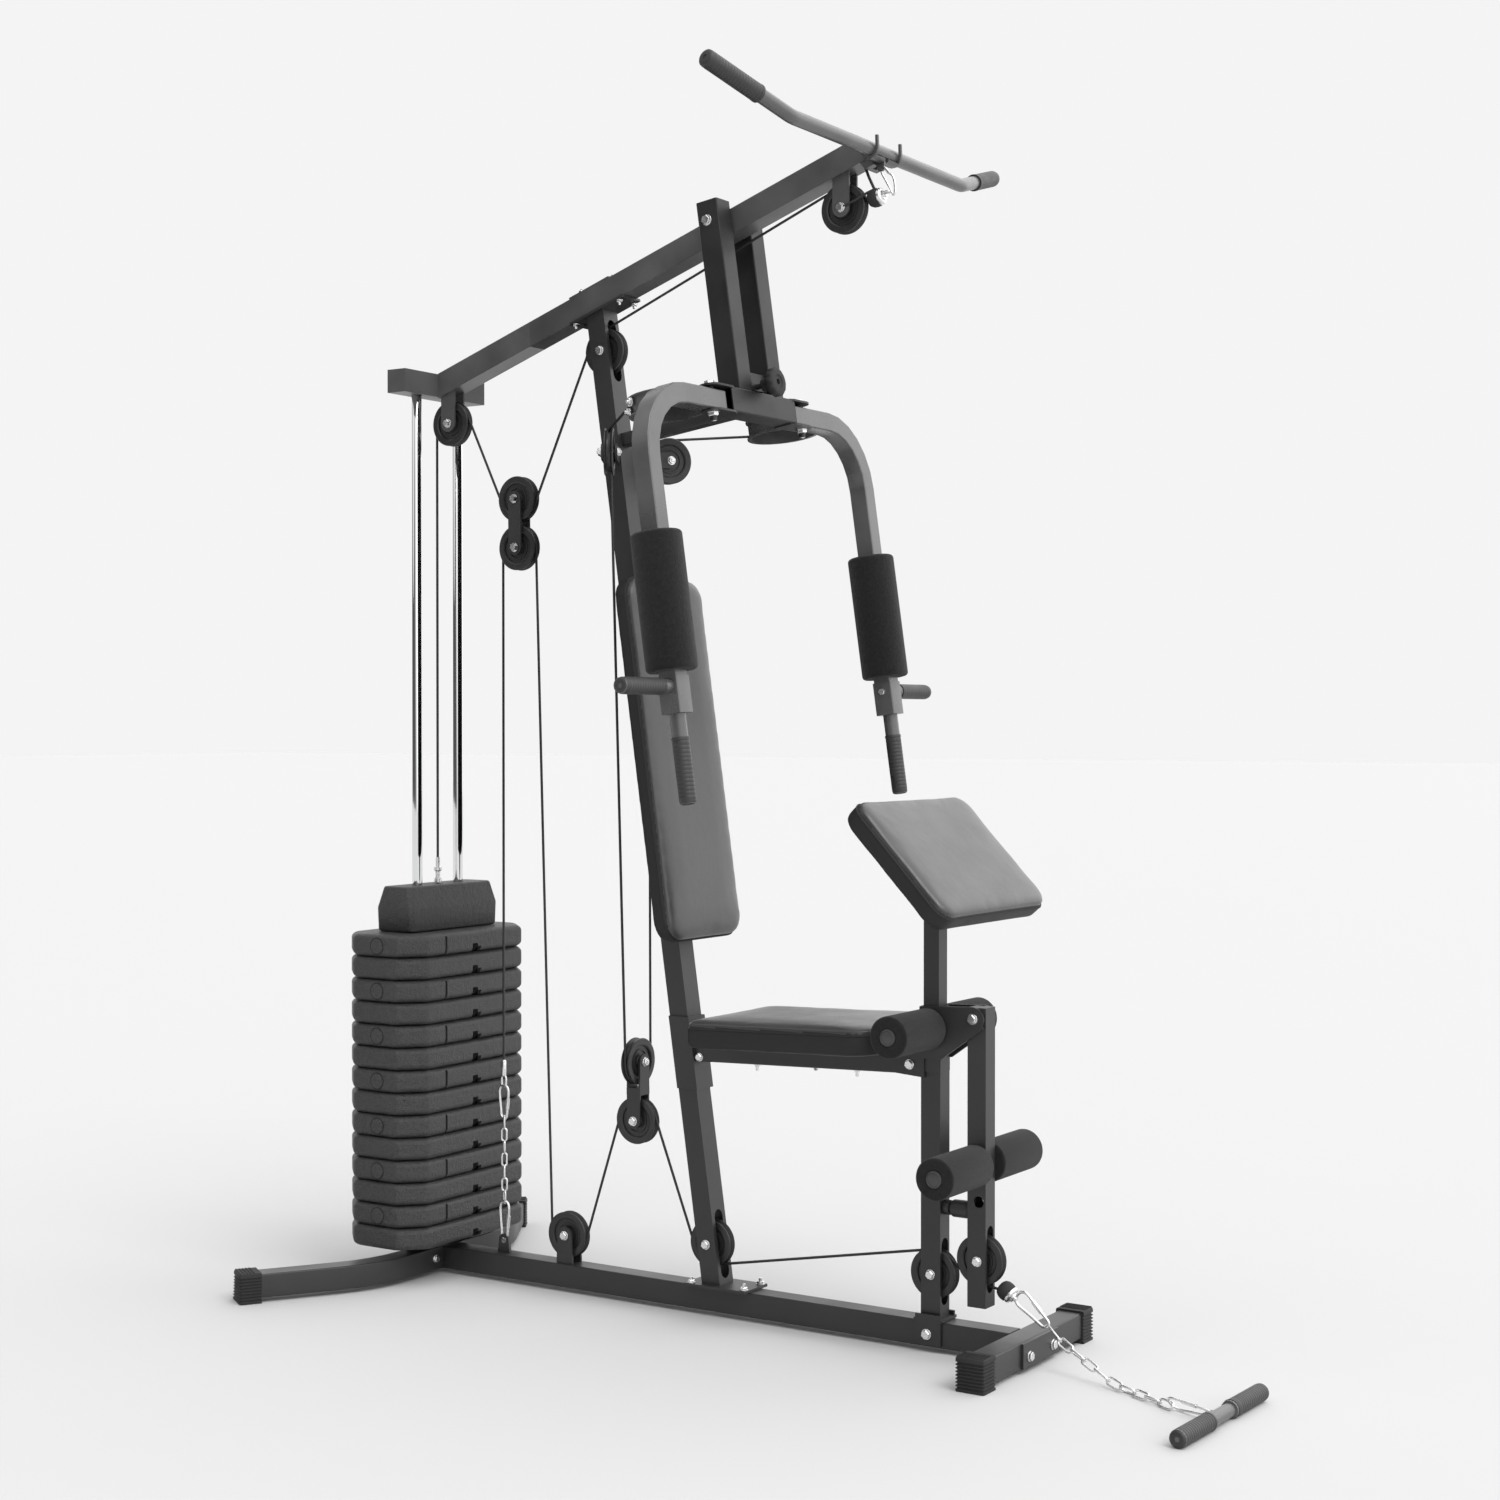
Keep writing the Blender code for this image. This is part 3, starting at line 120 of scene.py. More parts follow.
def tilted(y, down, ahead=0.0):
    """A point in the leaning plane of the arms."""
    return at(ARM_PIVOT[0], y, ARM_PIVOT[2]) + (DOWN * down + AHEAD * ahead) * MM


def top_z(x):
    return TOP_Z0 + TOP_SLOPE * x


def upright_x(z):
    return UPRIGHT_X0 - tan(LEAN) * z


def side_of(node):
    return -1 if node.endswith("near") else 1


# ---- camera, light and floor


def placed(name, data):
    """A new object in the scene that holds this data."""
    obj = bpy.data.objects.new(name, data)
    SCENE.collection.objects.link(obj)
    return obj


def lobe(tree, place, direction, near, full, dark, bright):
    """A brightness that rises from dark to bright as a ray turns toward the direction."""
    add, join = tree.nodes.new, tree.links.new
    toward = add("ShaderNodeVectorMath")
    toward.operation = "DOT_PRODUCT"
    toward.inputs[1].default_value = direction
    join(place.outputs["Generated"], toward.inputs[0])
    level = add("ShaderNodeMapRange")
    level.interpolation_type = "SMOOTHSTEP"
    level.inputs["From Min"].default_value = near
    level.inputs["From Max"].default_value = full
    level.inputs["To Min"].default_value = dark
    level.inputs["To Max"].default_value = bright
    join(toward.outputs["Value"], level.inputs["Value"])
    return level.outputs["Result"]


def surround(tree):
    """Plain pale grey to the camera. Everything else sees a studio that is bright ahead and above and dark at
    the camera's side, which gives each face of the square tubes its own tone."""
    add, join = tree.nodes.new, tree.links.new
    plain = tree.nodes["Background"]
    plain.inputs["Color"].default_value = (0.905, 0.905, 0.905, 1)
    place = add("ShaderNodeTexCoord")
    both = add("ShaderNodeMath")
    both.operation = "ADD"
    join(lobe(tree, place, (0.80, 0.12, 0.58), -0.15, 0.85, 0.10, 1.75), both.inputs[0])
    join(lobe(tree, place, (-0.54, 0.84, 0.10), 0.35, 0.85, 0.0, 1.1), both.inputs[1])
    studio = add("ShaderNodeBackground")
    studio.inputs["Color"].default_value = (1, 1, 1, 1)
    join(both.outputs["Value"], studio.inputs["Strength"])
    path = add("ShaderNodeLightPath")
    choose = add("ShaderNodeMixShader")
    join(path.outputs["Is Camera Ray"], choose.inputs["Fac"])
    join(studio.outputs["Background"], choose.inputs[1])
    join(plain.outputs["Background"], choose.inputs[2])
    join(choose.outputs["Shader"], tree.nodes["World Output"].inputs["Surface"])


def sheet(name, corners, shade, roughness, specular):
    """A flat painted sheet of the studio."""
    mesh = bpy.data.meshes.new(name)
    mesh.from_pydata(corners, [], [(0, 1, 2, 3)])
    paint = bpy.data.materials.new(name + "_paint")
    paint.use_nodes = True
    shader = paint.node_tree.nodes["Principled BSDF"]
    shader.inputs["Base Color"].default_value = (shade, shade, shade, 1)
    shader.inputs["Roughness"].default_value = roughness
    shader.inputs["Specular IOR Level"].default_value = specular
    mesh.materials.append(paint)
    return placed(name, mesh)


def make_stage():
    camera = placed("camera", bpy.data.cameras.new("camera"))
    camera.location = at(3058.1, -3628.1, 1091.9)
    camera.rotation_euler = (radians(89.329), 0, radians(32.81))
    camera.data.lens = 56.8
    camera.data.sensor_width = 36
    camera.data.clip_end = 200
    SCENE.camera = camera

    world = bpy.data.worlds.new("studio")
    SCENE.world = world
    world.use_nodes = True
    surround(world.node_tree)
    SCENE.view_settings.view_transform = "Standard"

    # Broad suns, each with its turn and rise in degrees, keep the floor evenly lit.
    for name, turn, rise, power, spread in (("key", 75, 50, 1.1, 30), ("left", -50, 42, 0.45, 50)):
        sun = placed(name, bpy.data.lights.new(name, "SUN"))
        sun.data.energy = power
        sun.data.angle = radians(spread)
        a = radians(turn)
        e = radians(rise)
        towards = Vector((sin(a) * cos(e), -cos(a) * cos(e), sin(e)))
        sun.rotation_euler = towards.to_track_quat("Z", "Y").to_euler()

    half = 60
    corners = [(-half, -half, 0), (half, -half, 0), (half, half, 0), (-half, half, 0)]
    floor = sheet("floor", corners, 0.567, 0.9, 0.1)

    # A black card beside the guide rods, seen only in reflections, darkens their far halves.
    corners = [at(230, -210, 800), at(230, 1100, 800), at(230, 1100, 1950), at(230, -210, 1950)]
    card = sheet("card", corners, 0.004, 1.0, 0.0)
    card.visible_camera = False
    card.visible_diffuse = False
    card.visible_shadow = False


# ---- materials


def surface(name, colour, roughness, metallic=0.0, grain=(), mottle=0.0, blotch=20.0, scuff=0.0, shine=0.5,
            sheen=(0.0, 0.5)):
    """A Principled material. grain is a list of (kind, scale, height in metres), and mottle and scuff vary
    the colour and the roughness by that share over blotches of the given scale."""
    made = bpy.data.materials.new(name)
    made.use_nodes = True
    tree = made.node_tree
    add, join = tree.nodes.new, tree.links.new
    shader = tree.nodes["Principled BSDF"]
    shader.inputs["Metallic"].default_value = metallic
    shader.inputs["Specular IOR Level"].default_value = shine
    shader.inputs["Sheen Weight"].default_value = sheen[0]
    shader.inputs["Sheen Roughness"].default_value = sheen[1]
    place = add("ShaderNodeTexCoord")
    noise = add("ShaderNodeTexNoise")
    noise.inputs["Scale"].default_value = blotch
    noise.inputs["Detail"].default_value = 5
    join(place.outputs["Object"], noise.inputs["Vector"])

    ramp = add("ShaderNodeValToRGB")
    ramp.color_ramp.elements[0].position = 0.3
    ramp.color_ramp.elements[1].position = 0.7
    ramp.color_ramp.elements[0].color = [c * (1 - mottle) for c in colour] + [1]
    ramp.color_ramp.elements[1].color = [min(1, c * (1 + mottle)) for c in colour] + [1]
    join(noise.outputs["Fac"], ramp.inputs["Fac"])
    join(ramp.outputs["Color"], shader.inputs["Base Color"])

    spread = add("ShaderNodeMapRange")
    spread.inputs["From Min"].default_value = 0.3
    spread.inputs["From Max"].default_value = 0.7
    spread.inputs["To Min"].default_value = max(0.02, roughness * (1 - scuff))
    spread.inputs["To Max"].default_value = min(1, roughness * (1 + scuff))
    join(noise.outputs["Fac"], spread.inputs["Value"])
    join(spread.outputs["Result"], shader.inputs["Roughness"])

    last = None
    for kind, scale, height in grain:
        if kind == "cells":
            pattern = add("ShaderNodeTexVoronoi")
            pattern.feature = "DISTANCE_TO_EDGE"
            out = pattern.outputs["Distance"]
        else:
            pattern = add("ShaderNodeTexNoise")
            pattern.inputs["Detail"].default_value = 3
            out = pattern.outputs["Fac"]
        pattern.inputs["Scale"].default_value = scale
        join(place.outputs["Object"], pattern.inputs["Vector"])
        bump = add("ShaderNodeBump")
        bump.inputs["Strength"].default_value = 1.0
        bump.inputs["Distance"].default_value = height
        join(out, bump.inputs["Height"])
        if last is not None:
            join(last, bump.inputs["Normal"])
        last = bump.outputs["Normal"]
    if last is not None:
        join(last, shader.inputs["Normal"])
    return made


def grey(value):
    return (value, value, value * 1.02)


# Copies of the black powder coat at another grey. A lighter grey is painted light and a darker grey is
# painted shade.
def coat(name, shade, roughness, shine):
    return surface(name, grey(shade), roughness, grain=[("noise", 900, 0.0001)], mottle=0.2, blotch=12,
                   scuff=0.2, shine=shine)


def make_materials():
    return {
        "coat": surface("powder_coat", grey(0.021), 0.42, grain=[("noise", 900, 0.00012)], mottle=0.18,
                        blotch=9, scuff=0.14, shine=0.55),
        # The top beam's coat is the black coat painted lighter: painted light.
        "coat_top_painted_lit": coat("powder_coat_lit", 0.066, 0.38, 0.7),
        # The press frame's coat is the black coat painted darker: painted shade.
        "coat_press_painted_shade": coat("powder_coat_painted_shade", 0.013, 0.45, 0.4),
        # The coat of the arms and bars is glossier, and its black is also painted lighter: painted light.
        "coat_arm_painted_lit": coat("powder_coat_painted_light", 0.075, 0.30, 0.8),
        "vinyl": surface("pad_vinyl", grey(0.027), 0.36,
                         grain=[("cells", 620, 0.0002), ("noise", 60, 0.0003)], mottle=0.12, blotch=14,
                         scuff=0.15, shine=0.75, sheen=(0.15, 0.4)),
        # The side band of the pads is a duller vinyl, and its darker grey is partly painted shade on the
        # sides turned from the light.
        "boxing": surface("pad_boxing", grey(0.014), 0.6, grain=[("cells", 620, 0.0002)], mottle=0.1,
                          blotch=14, scuff=0.1, shine=0.35),
        "seam": surface("seam_thread", grey(0.008), 0.7, grain=[("noise", 1500, 0.0003)]),
        "foam": surface("grip_foam", grey(0.010), 0.97,
                        grain=[("noise", 420, 0.0012), ("cells", 900, 0.0005)], mottle=0.3, blotch=160,
                        shine=0.12, sheen=(0.12, 0.6)),
        "rubber": surface("rubber", grey(0.022), 0.72, grain=[("noise", 700, 0.0002)], mottle=0.15, blotch=30,
                          scuff=0.1, shine=0.35),
        "grip": surface("hand_grip", grey(0.026), 0.5, grain=[("noise", 500, 0.0002)], mottle=0.15, blotch=30,
                        scuff=0.15, shine=0.5),
        "plate": surface("plate_vinyl", grey(0.031), 0.5,
                         grain=[("noise", 420, 0.0022), ("noise", 90, 0.002)], mottle=0.62, blotch=300,
                         scuff=0.3, shine=0.55),
        # A near-black material for painted shade, used for the rings round the filler discs.
        "groove_shade": surface("painted_groove_shade", grey(0.006), 0.8, grain=[("noise", 500, 0.0002)]),
        "chrome": surface("chrome", (0.78, 0.78, 0.79), 0.07, 1.0, mottle=0.03, blotch=6, scuff=0.3),
        "zinc": surface("zinc", (0.74, 0.74, 0.75), 0.26, 1.0, grain=[("noise", 900, 0.0001)], mottle=0.1,
                        blotch=60, scuff=0.3),
        "pulley": surface("pulley_nylon", grey(0.020), 0.36, grain=[("noise", 300, 0.0001)], mottle=0.12,
                          blotch=25, scuff=0.2, shine=0.5),
        "cable": surface("cable_coat", grey(0.016), 0.45, grain=[("noise", 1800, 0.0004)], mottle=0.2,
                         blotch=90),
        "plug": surface("end_plug", grey(0.045), 0.42, grain=[("noise", 400, 0.0001)], mottle=0.1, blotch=40),
    }


# ---- mesh tools


def new_piece(name, shape, material, body, replaces=(), sharp=50):
    """A piece from its (points, faces), in place of the CAD nodes in replaces. Edges over sharp degrees stay
    crisp."""
    points, faces = shape
    mesh = bpy.data.meshes.new(name)
    mesh.from_pydata([tuple(p) for p in points], [], faces)
    obj = placed(name, mesh)
    work = bmesh.new()
    work.from_mesh(mesh)
    bmesh.ops.recalc_face_normals(work, faces=work.faces)
    work.to_mesh(mesh)
    work.free()
    return dress(obj, material, body, replaces, sharp)


def dress(obj, material, body, replaces=(), sharp=50):
    obj.data.materials.clear()
    obj.data.materials.append(MATERIALS[material])
    obj.data.shade_smooth()
    obj.data.set_sharp_from_angle(angle=radians(sharp))
    if body is not None:
        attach(obj, body)
    if replaces:
        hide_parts(*replaces)
    return obj


def skin(loops, closed=False):
    """Points and faces that join equal loops in order."""
    count = len(loops[0])
    points = [p for loop in loops for p in loop]
    faces = []
    for i in range(len(loops) if closed else len(loops) - 1):
        a = i * count
        b = ((i + 1) % len(loops)) * count
        faces += [(a + k, a + (k + 1) % count, b + (k + 1) % count, b + k) for k in range(count)]
    if not closed:
        faces.append(tuple(range(count)))
        faces.append(tuple(range((len(loops) - 1) * count, len(loops) * count)))
    return points, faces


def axes_of(axis):
    axis = axis.normalized()
    side = Z if abs(axis.z) < 0.9 else X
    u = axis.cross(side).normalized()
    return axis, u, axis.cross(u)


def ring(centre, u, v, radius, steps, turn=0.0):
    angles = [2 * pi * k / steps + turn for k in range(steps)]
    return [centre + (u * cos(a) + v * sin(a)) * radius for a in angles]


def turned_shape(profile, centre, axis, steps=40, turn=0.0, closed=False):
    """Points and faces of a profile of (radius, height) in mm, turned round an axis."""
    axis, u, v = axes_of(axis)
    loops = [ring(centre + axis * h * MM, u, v, max(r, 0.01) * MM, steps, turn) for r, h in profile]
    return skin(loops, closed)


def merged(shapes):
    points = []
    faces = []
    for more_points, more_faces in shapes:
        base = len(points)
        points += more_points
        faces += [tuple(i + base for i in face) for face in more_faces]
    return points, faces


def quarter(steps):
    """(sine, cosine) at even steps of a quarter turn."""
    angles = [radians(90 * k / steps) for k in range(steps + 1)]
    return [(sin(a), cos(a)) for a in angles]


def rounded(outer, low, high, radius, steps=4):
    """A turned profile at the outer radius from low to high, with both corners rounded."""
    inner = outer - radius
    bottom = [(inner + radius * s, low + radius - radius * c) for s, c in quarter(steps)]
    return bottom + [(inner + radius * c, high - radius + radius * s) for s, c in quarter(steps)]


def eight_sides(half_x, half_y, cut):
    """The corners of a rectangle with its four corners cut off."""
    return [(half_x - cut, -half_y), (half_x, -half_y + cut), (half_x, half_y - cut), (half_x - cut, half_y),
            (-half_x + cut, half_y), (-half_x, half_y - cut), (-half_x, -half_y + cut),
            (-half_x + cut, -half_y)]


def smooth_line(points, each=6, closed=False):
    """A Catmull-Rom curve through the points."""
    made = []
    count = len(points)
    last = count if closed else count - 1
    for i in range(last):
        p0 = points[(i - 1) % count] if closed or i else points[0]
        p1 = points[i]
        p2 = points[(i + 1) % count]
        p3 = points[(i + 2) % count] if closed or i + 2 < count else points[-1]
        for k in range(each):
            t = k / each
            made.append(0.5 * (2 * p1 + (p2 - p0) * t + (2 * p0 - 5 * p1 + 4 * p2 - p3) * t * t
                               + (3 * p1 - p0 - 3 * p2 + p3) * t ** 3))
    if not closed:
        made.append(points[-1])
    return made


def tube_shape(line, radius, steps=10, closed=False):
    """A round tube along a line, with its radius in mm."""
    loops = []
    side = None
    count = len(line)
    for i, point in enumerate(line):
        before = line[i] - line[i - 1] if i or closed else None
        after = line[(i + 1) % count] - point if i + 1 < count or closed else None
        along = ((before or after).normalized() + (after or before).normalized()).normalized()
        if side is None:
            side = axes_of(along)[1]
        else:
            side = (side - along * side.dot(along)).normalized()
        loops.append(ring(point, side, along.cross(side), radius * MM, steps))
    return skin(loops, closed)


def box_shape(centre, u, v, n, size, cut=1.0):
    """A block with bevelled edges, with its size along u, v and n in mm."""
    loops = []
    a, b, c = (s / 2 for s in size)
    for height, inset in ((-c, cut), (-c + cut, 0), (c - cut, 0), (c, cut)):
        outline = eight_sides(a - inset, b - inset, cut)
        loops.append([centre + (u * p + v * q + n * height) * MM for p, q in outline])
    return skin(loops)


def own_copy(node, name, flatten=0.0):
    """The CAD node's own surface as a new object, with its points joined and edges under flatten degrees
    dissolved."""
    obj = placed(name, NODES[node].data.copy())
    work = bmesh.new()
    work.from_mesh(obj.data)
    bmesh.ops.remove_doubles(work, verts=work.verts, dist=0.00002)
    if flatten:
        bmesh.ops.dissolve_limit(work, angle_limit=radians(flatten), verts=work.verts, edges=work.edges)
    work.to_mesh(obj.data)
    work.free()
    if "custom_normal" in obj.data.attributes:
        obj.data.attributes.remove(obj.data.attributes["custom_normal"])
    return obj


def refined(node, material):
    """The CAD node's own surface with its triangles merged into faces and its corners shaded round."""
    obj = own_copy(node, node + "_finished", 0.6)
    dress(obj, material, BODY[node], [node])
    even = obj.modifiers.new("even", "WEIGHTED_NORMAL")
    even.keep_sharp = True
    even.weight = 80


TREES = {}


def tree_of(mesh):
    return BVHTree.FromPolygons([v.co for v in mesh.vertices], [p.vertices for p in mesh.polygons])


def surface_point(node, point, normal, reach=0.25):
    """Where the outer face of a CAD node is, coming in along -normal through a point."""
    if node not in TREES:
        TREES[node] = tree_of(NODES[node].data)
    start = point + normal * reach
    spot, _, _, distance = TREES[node].ray_cast(start, -normal, reach * 2)
    return point if spot is None else start - normal * distance


# ---- fasteners

BOLTS = []


def hex_head(point, normal, size=8.0, washer=True, tail=0.0):
    """A hexagon head or nut with a washer, standing on a face, with the end of its thread."""
    shapes = []
    base = 0.0
    if washer:
        rim = size * 1.12
        flat = [(0, 0), (rim - 0.3, 0), (rim, 0.3), (rim, 1.3), (rim - 0.3, 1.6), (0, 1.6)]
        shapes.append(turned_shape(flat, point, normal, 28))
        base = 1.5
    high = base + size * 0.62
    head = [(0, base), (size, base), (size, high - 1.2), (size * 0.86, high), (0, high)]
    shapes.append(turned_shape(head, point, normal, 6, 0.3))
    if tail:
        thread = [(0, high - 0.5), (size * 0.48, high - 0.5), (size * 0.48, high + tail - 0.6),
                  (size * 0.36, high + tail), (0, high + tail)]
        shapes.append(turned_shape(thread, point, normal, 14))
    return shapes


def bolt(node, x, y, z, normal, size=8.0, washer=True, tail=0.0):
    """Collects a bolt head where the outer face of its CAD node is, to ride with that node's body."""
    point = surface_point(node, at(x, y, z), normal)
    BOLTS.append((BODY[node], hex_head(point, normal, size, washer, tail)))


def make_bolts():
    for x, z, node in ((637, 131, "main_upright"), (396.5, 1793, "main_upright"), (18.5, 1682.5, "top_beam"),
                       (919.5, 2002, "top_beam"), (305.5, 107.5, "base_beam"),
                       (184.5, 1525.5, "float_a_frame"), (186, 1431, "float_a_frame"),
                       (468, 342, "float_b_frame"), (1102.5, 134, "front_post"), (1193, 167.5, "leg_lever")):
        bolt(node, x, 0, z, -Y, 8.0)
        bolt(node, x, 0, z, Y, 7.5, tail=4)
    for normal in (X, -X):
        bolt("float_b_frame", 468, 0, 453.5, normal, 7.5, tail=2)
    for side in (-1, 1):
        across = Vector((side * FLY_DIR[1], -FLY_DIR[0], 0))
        for normal in (across, -across):
            bolt("main_upright", 472, side * 95.5, 1590.6, normal, 7.5, tail=2)
        bolt("main_upright", 446, side * 12, 1590.6, side * Y, 6.5)
        bolt("rear_stabiliser", -12, side * 45.5, 33, X, 7.5)
        bolt("front_stabiliser", 1279, side * 45, 28, X, 8.0)
        bolt("main_upright", 610, side * 30, 57, Z, 6.5, tail=5)
        bolt("main_upright", 724, side * 28, 57, Z, 7.0, tail=6)
        bolt("top_beam", 346, side * 11, 1870, Z, 6.0, False, 3)
        bolt("top_beam", 418, side * 11, 1900, Z, 6.0, False, 3)
        bolt("main_upright", 341, side * 24, top_z(341) - 10, -Z, 6.0, tail=5)
        bolt("main_upright", 443, side * 24, top_z(443) - 10, -Z, 6.0, tail=5)
        bolt("front_post", LEVER_PIVOT[0], 0, LEVER_PIVOT[1], side * Y, 8.5)
        bolt("front_post", 1064, 0, 497, side * Y, 8.0)
        bolt("front_post", 1100, 0, 32, side * Y, 8.5)
        bolt("seat_frame", 621, side * 20, 475, side * Y, 7.0)
        bolt("press_frame", PRESS_PIVOT[0], 0, PRESS_PIVOT[1], side * Y, 9.0)
    for x in (735.0, 945.5):
        bolt("seat_frame", x, 0, 480, -Z, 6.0, tail=8)
    for z in (438, 526):
        bolt("seat_frame", upright_x(z) + 20, 0, z, AHEAD, 7.0)
    for side, tail in SIDES:
        face = tilted(side * ARM_Y, 515, ARM_BACK)
        bolt("press_arm_" + tail, face.x / MM + ORIGIN_X, face.y / MM, face.z / MM, Y * -side, 7.0, False)
        y = side * ARM_PIVOT[1]
        BOLTS.append(("press", hex_head(tilted(y, 22.2), DOWN, 10.0, True, 9)))
        BOLTS.append(("press", hex_head(tilted(y, -26.6), -DOWN, 9.5, True, 0)))
        for down, share in ((-6, 0.50), (9, 0.66)):
            out = (AHEAD * -share + Y * side * sqrt(1 - share * share)).normalized()
            point = tilted(side * DRUM[1], down, DRUM[0]) + out * 69.8 * MM
            BOLTS.append(("arm_" + tail, hex_head(point, out, 7.0, True, 4)))
    made = {}
    for body, shapes in BOLTS:
        made.setdefault(body, []).extend(shapes)
    for body in sorted(made):
        new_piece("bolts_" + body, merged(made[body]), "zinc", body, sharp=28)


# ---- frame, rods, pulleys and cables


def make_frame():
    for node in ("base_beam", "rear_stabiliser", "front_stabiliser", "main_upright", "seat_frame",
                 "front_post", "leg_lever", "preacher_post", "float_a_frame", "float_b_frame"):
        refined(node, "coat")
    # The top beam and the arms take lighter copies of the coat and the press frame a darker one: painted
    # light and painted shade.
    refined("top_beam", "coat_top_painted_lit")
    refined("press_frame", "coat_press_painted_shade")
    refined("press_arm_near", "coat_arm_painted_lit")
    refined("press_arm_far", "coat_arm_painted_lit")


def foot_of(node):
    """The middle of the bottom of a CAD node's box, and its height in mm."""
    low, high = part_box(node)
    return Vector(((low.x + high.x) / 2, (low.y + high.y) / 2, low.z)), (high.z - low.z) / MM


def make_rods():
    for tail in ("near", "far"):
        node = "guide_rod_" + tail
        centre, tall = foot_of(node)
        profile = [(0, 0), (9.2, 0), (10, 1), (10, tall - 1), (9.2, tall), (0, tall)]
        new_piece("chrome_" + node, turned_shape(profile, centre, Z, 56), "chrome", BODY[node],
                  [node])
        node = "stack_cushion_" + tail
        centre, tall = foot_of(node)
        outer = [(10.6, 0)] + rounded(22, 0, tall, 3) + [(10.6, tall)]
        new_piece("rubber_" + node, turned_shape(outer, centre, Z, 40, closed=True), "rubber", BODY[node],
                  [node])


def pulley_profile():
    """Hub, web with two raised rings, and a grooved rim, from one side to the other."""
    face = [(5.0, 7.5), (12.0, 7.5), (12.8, 6.7), (13.0, 4.2), (20.0, 4.2), (20.6, 6.4), (23.4, 6.4),
            (24.0, 4.6), (30.0, 4.6), (30.8, 7.2), (33.0, 8.8), (42.4, 8.8), (44.0, 7.8), (43.6, 6.4),
            (38.4, 3.4), (37.4, 1.2)]
    return [(r, -h) for r, h in face] + [(r, h) for r, h in reversed(face)]


def make_pulleys():
    for node in sorted(n for n in NODES if n.startswith("pulley_")):
        low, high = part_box(node)
        centre = (low + high) / 2
        if node == "pulley_float_b_top":
            axis = X
        elif node.startswith("pulley_fly"):
            side = side_of(node)
            axis = Vector((side * FLY_DIR[1], -FLY_DIR[0], 0))
        else:
            axis = Y
        wheel = turned_shape(pulley_profile(), centre, axis, 56, closed=True)
        new_piece(node.replace("pulley_", "sheave_"), wheel, "pulley", BODY[node], [node], 30)


def make_cables():
    for node in ("lat_cable", "low_cable", "fly_cable", "lat_cable_drop"):
        obj = own_copy(node, node + "_line")
        dress(obj, "cable", None, [node], 75)
        if node == "low_cable":
            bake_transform(obj)
        elif node == "fly_cable":
            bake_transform(obj)
        else:
            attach(obj, "frame")
        if node == "lat_cable_drop":
            low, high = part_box(node)
            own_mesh(obj)
    # Crimped zinc end of the cable above the stack.
    low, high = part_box("weight_head")
    base = Vector((at(STACK_X, 0, 0).x, 0, high.z))
    fitting = [(0, -6), (7.5, -6), (7.5, 2), (5.0, 4), (5.0, 16), (8.0, 18), (8.0, 24), (4.2, 26), (4.2, 44),
               (0, 44)]
    new_piece("stack_cable_end", turned_shape(fitting, base, Z, 24), "zinc", "stack", sharp=40)


# ---- chain and hooks


def link_shape(centre, along, side, length, width, wire):
    """One oval link: length and width are outer sizes in mm."""
    half = (length - width) / 2
    reach = width / 2 - wire
    line = []
    for sign in (1, -1):
        for k in range(7):
            a = radians(-90 + 180 * k / 6)
            line.append(centre + (along * (half + reach * cos(a)) + side * reach * sin(a)) * sign * MM)
    return tube_shape(line, wire, 8, closed=True)


def chain_shapes(path, pitch, length, width, wire):
    """Links along a path, each a quarter turn from the last, with a gentle lean to how they lie."""
    lengths = [0.0]
    for a, b in zip(path, path[1:]):
        lengths.append(lengths[-1] + (b - a).length)
    count = max(2, round(lengths[-1] / (pitch * MM)))
    shapes = []
    seat = 0
    for index in range(count):
        want = (index + 0.5) * lengths[-1] / count
        while seat + 2 < len(lengths) and lengths[seat + 1] < want:
            seat += 1
        share = (want - lengths[seat]) / (lengths[seat + 1] - lengths[seat])
        centre = path[seat].lerp(path[seat + 1], share)
        along = (path[seat + 1] - path[seat]).normalized()
        _, u, v = axes_of(along)
        lean = radians(45 if index % 2 else -45) + 0.25 * sin(index * 1.7)
        side = u * cos(lean) + v * sin(lean)
        shapes.append(link_shape(centre, along, side, length, width, wire))
    return shapes


def hook_shapes(start, end, side, wide=14.5, wire=2.6):
    """A snap hook from end to end: a narrow nose at the start, a broad bend at the end, and a gate."""
    run = end - start
    scale = wide / 14.5 * MM
    flank = [(0.06, 7.0), (0.25, 9.0), (0.55, 11.5), (0.82, wide), (0.95, wide * 0.72)]
    plan = [(0.0, 2.5)] + flank + [(1.0, 0.0)] + [(share, -half) for share, half in reversed(flank)]
    outline = [start + run * share + side * half * scale for share, half in plan]
    shapes = [tube_shape(smooth_line(outline, 4, True), wire, 8, closed=True)]
    a = start + run * 0.3 + side * 9.4 * scale
    b = start + run * 0.62 + side * 12.2 * scale
    shapes.append(tube_shape([a, a.lerp(b, 0.5), b], wire * 1.45, 10))
    return shapes


def chain_route():
    """The free chain: from the hook under the lever down to the floor and across to the bar."""
    knots = [at(1323.6, -1.5, 68.3), at(1349, -14, 53), at(1368, -22, 44.5), at(1396, -33, 35),
             at(1424, -45, 25), at(1452, -56, 14.5), at(1480, -68, 8.5), at(1510, -80, 7), at(1545, -97, 7),
             at(1594, -122, 7), at(1622, -138, 8.5), at(1642, -145.5, 13), at(1660.4, -146.6, 14.6)]
    return smooth_line(knots, 5)


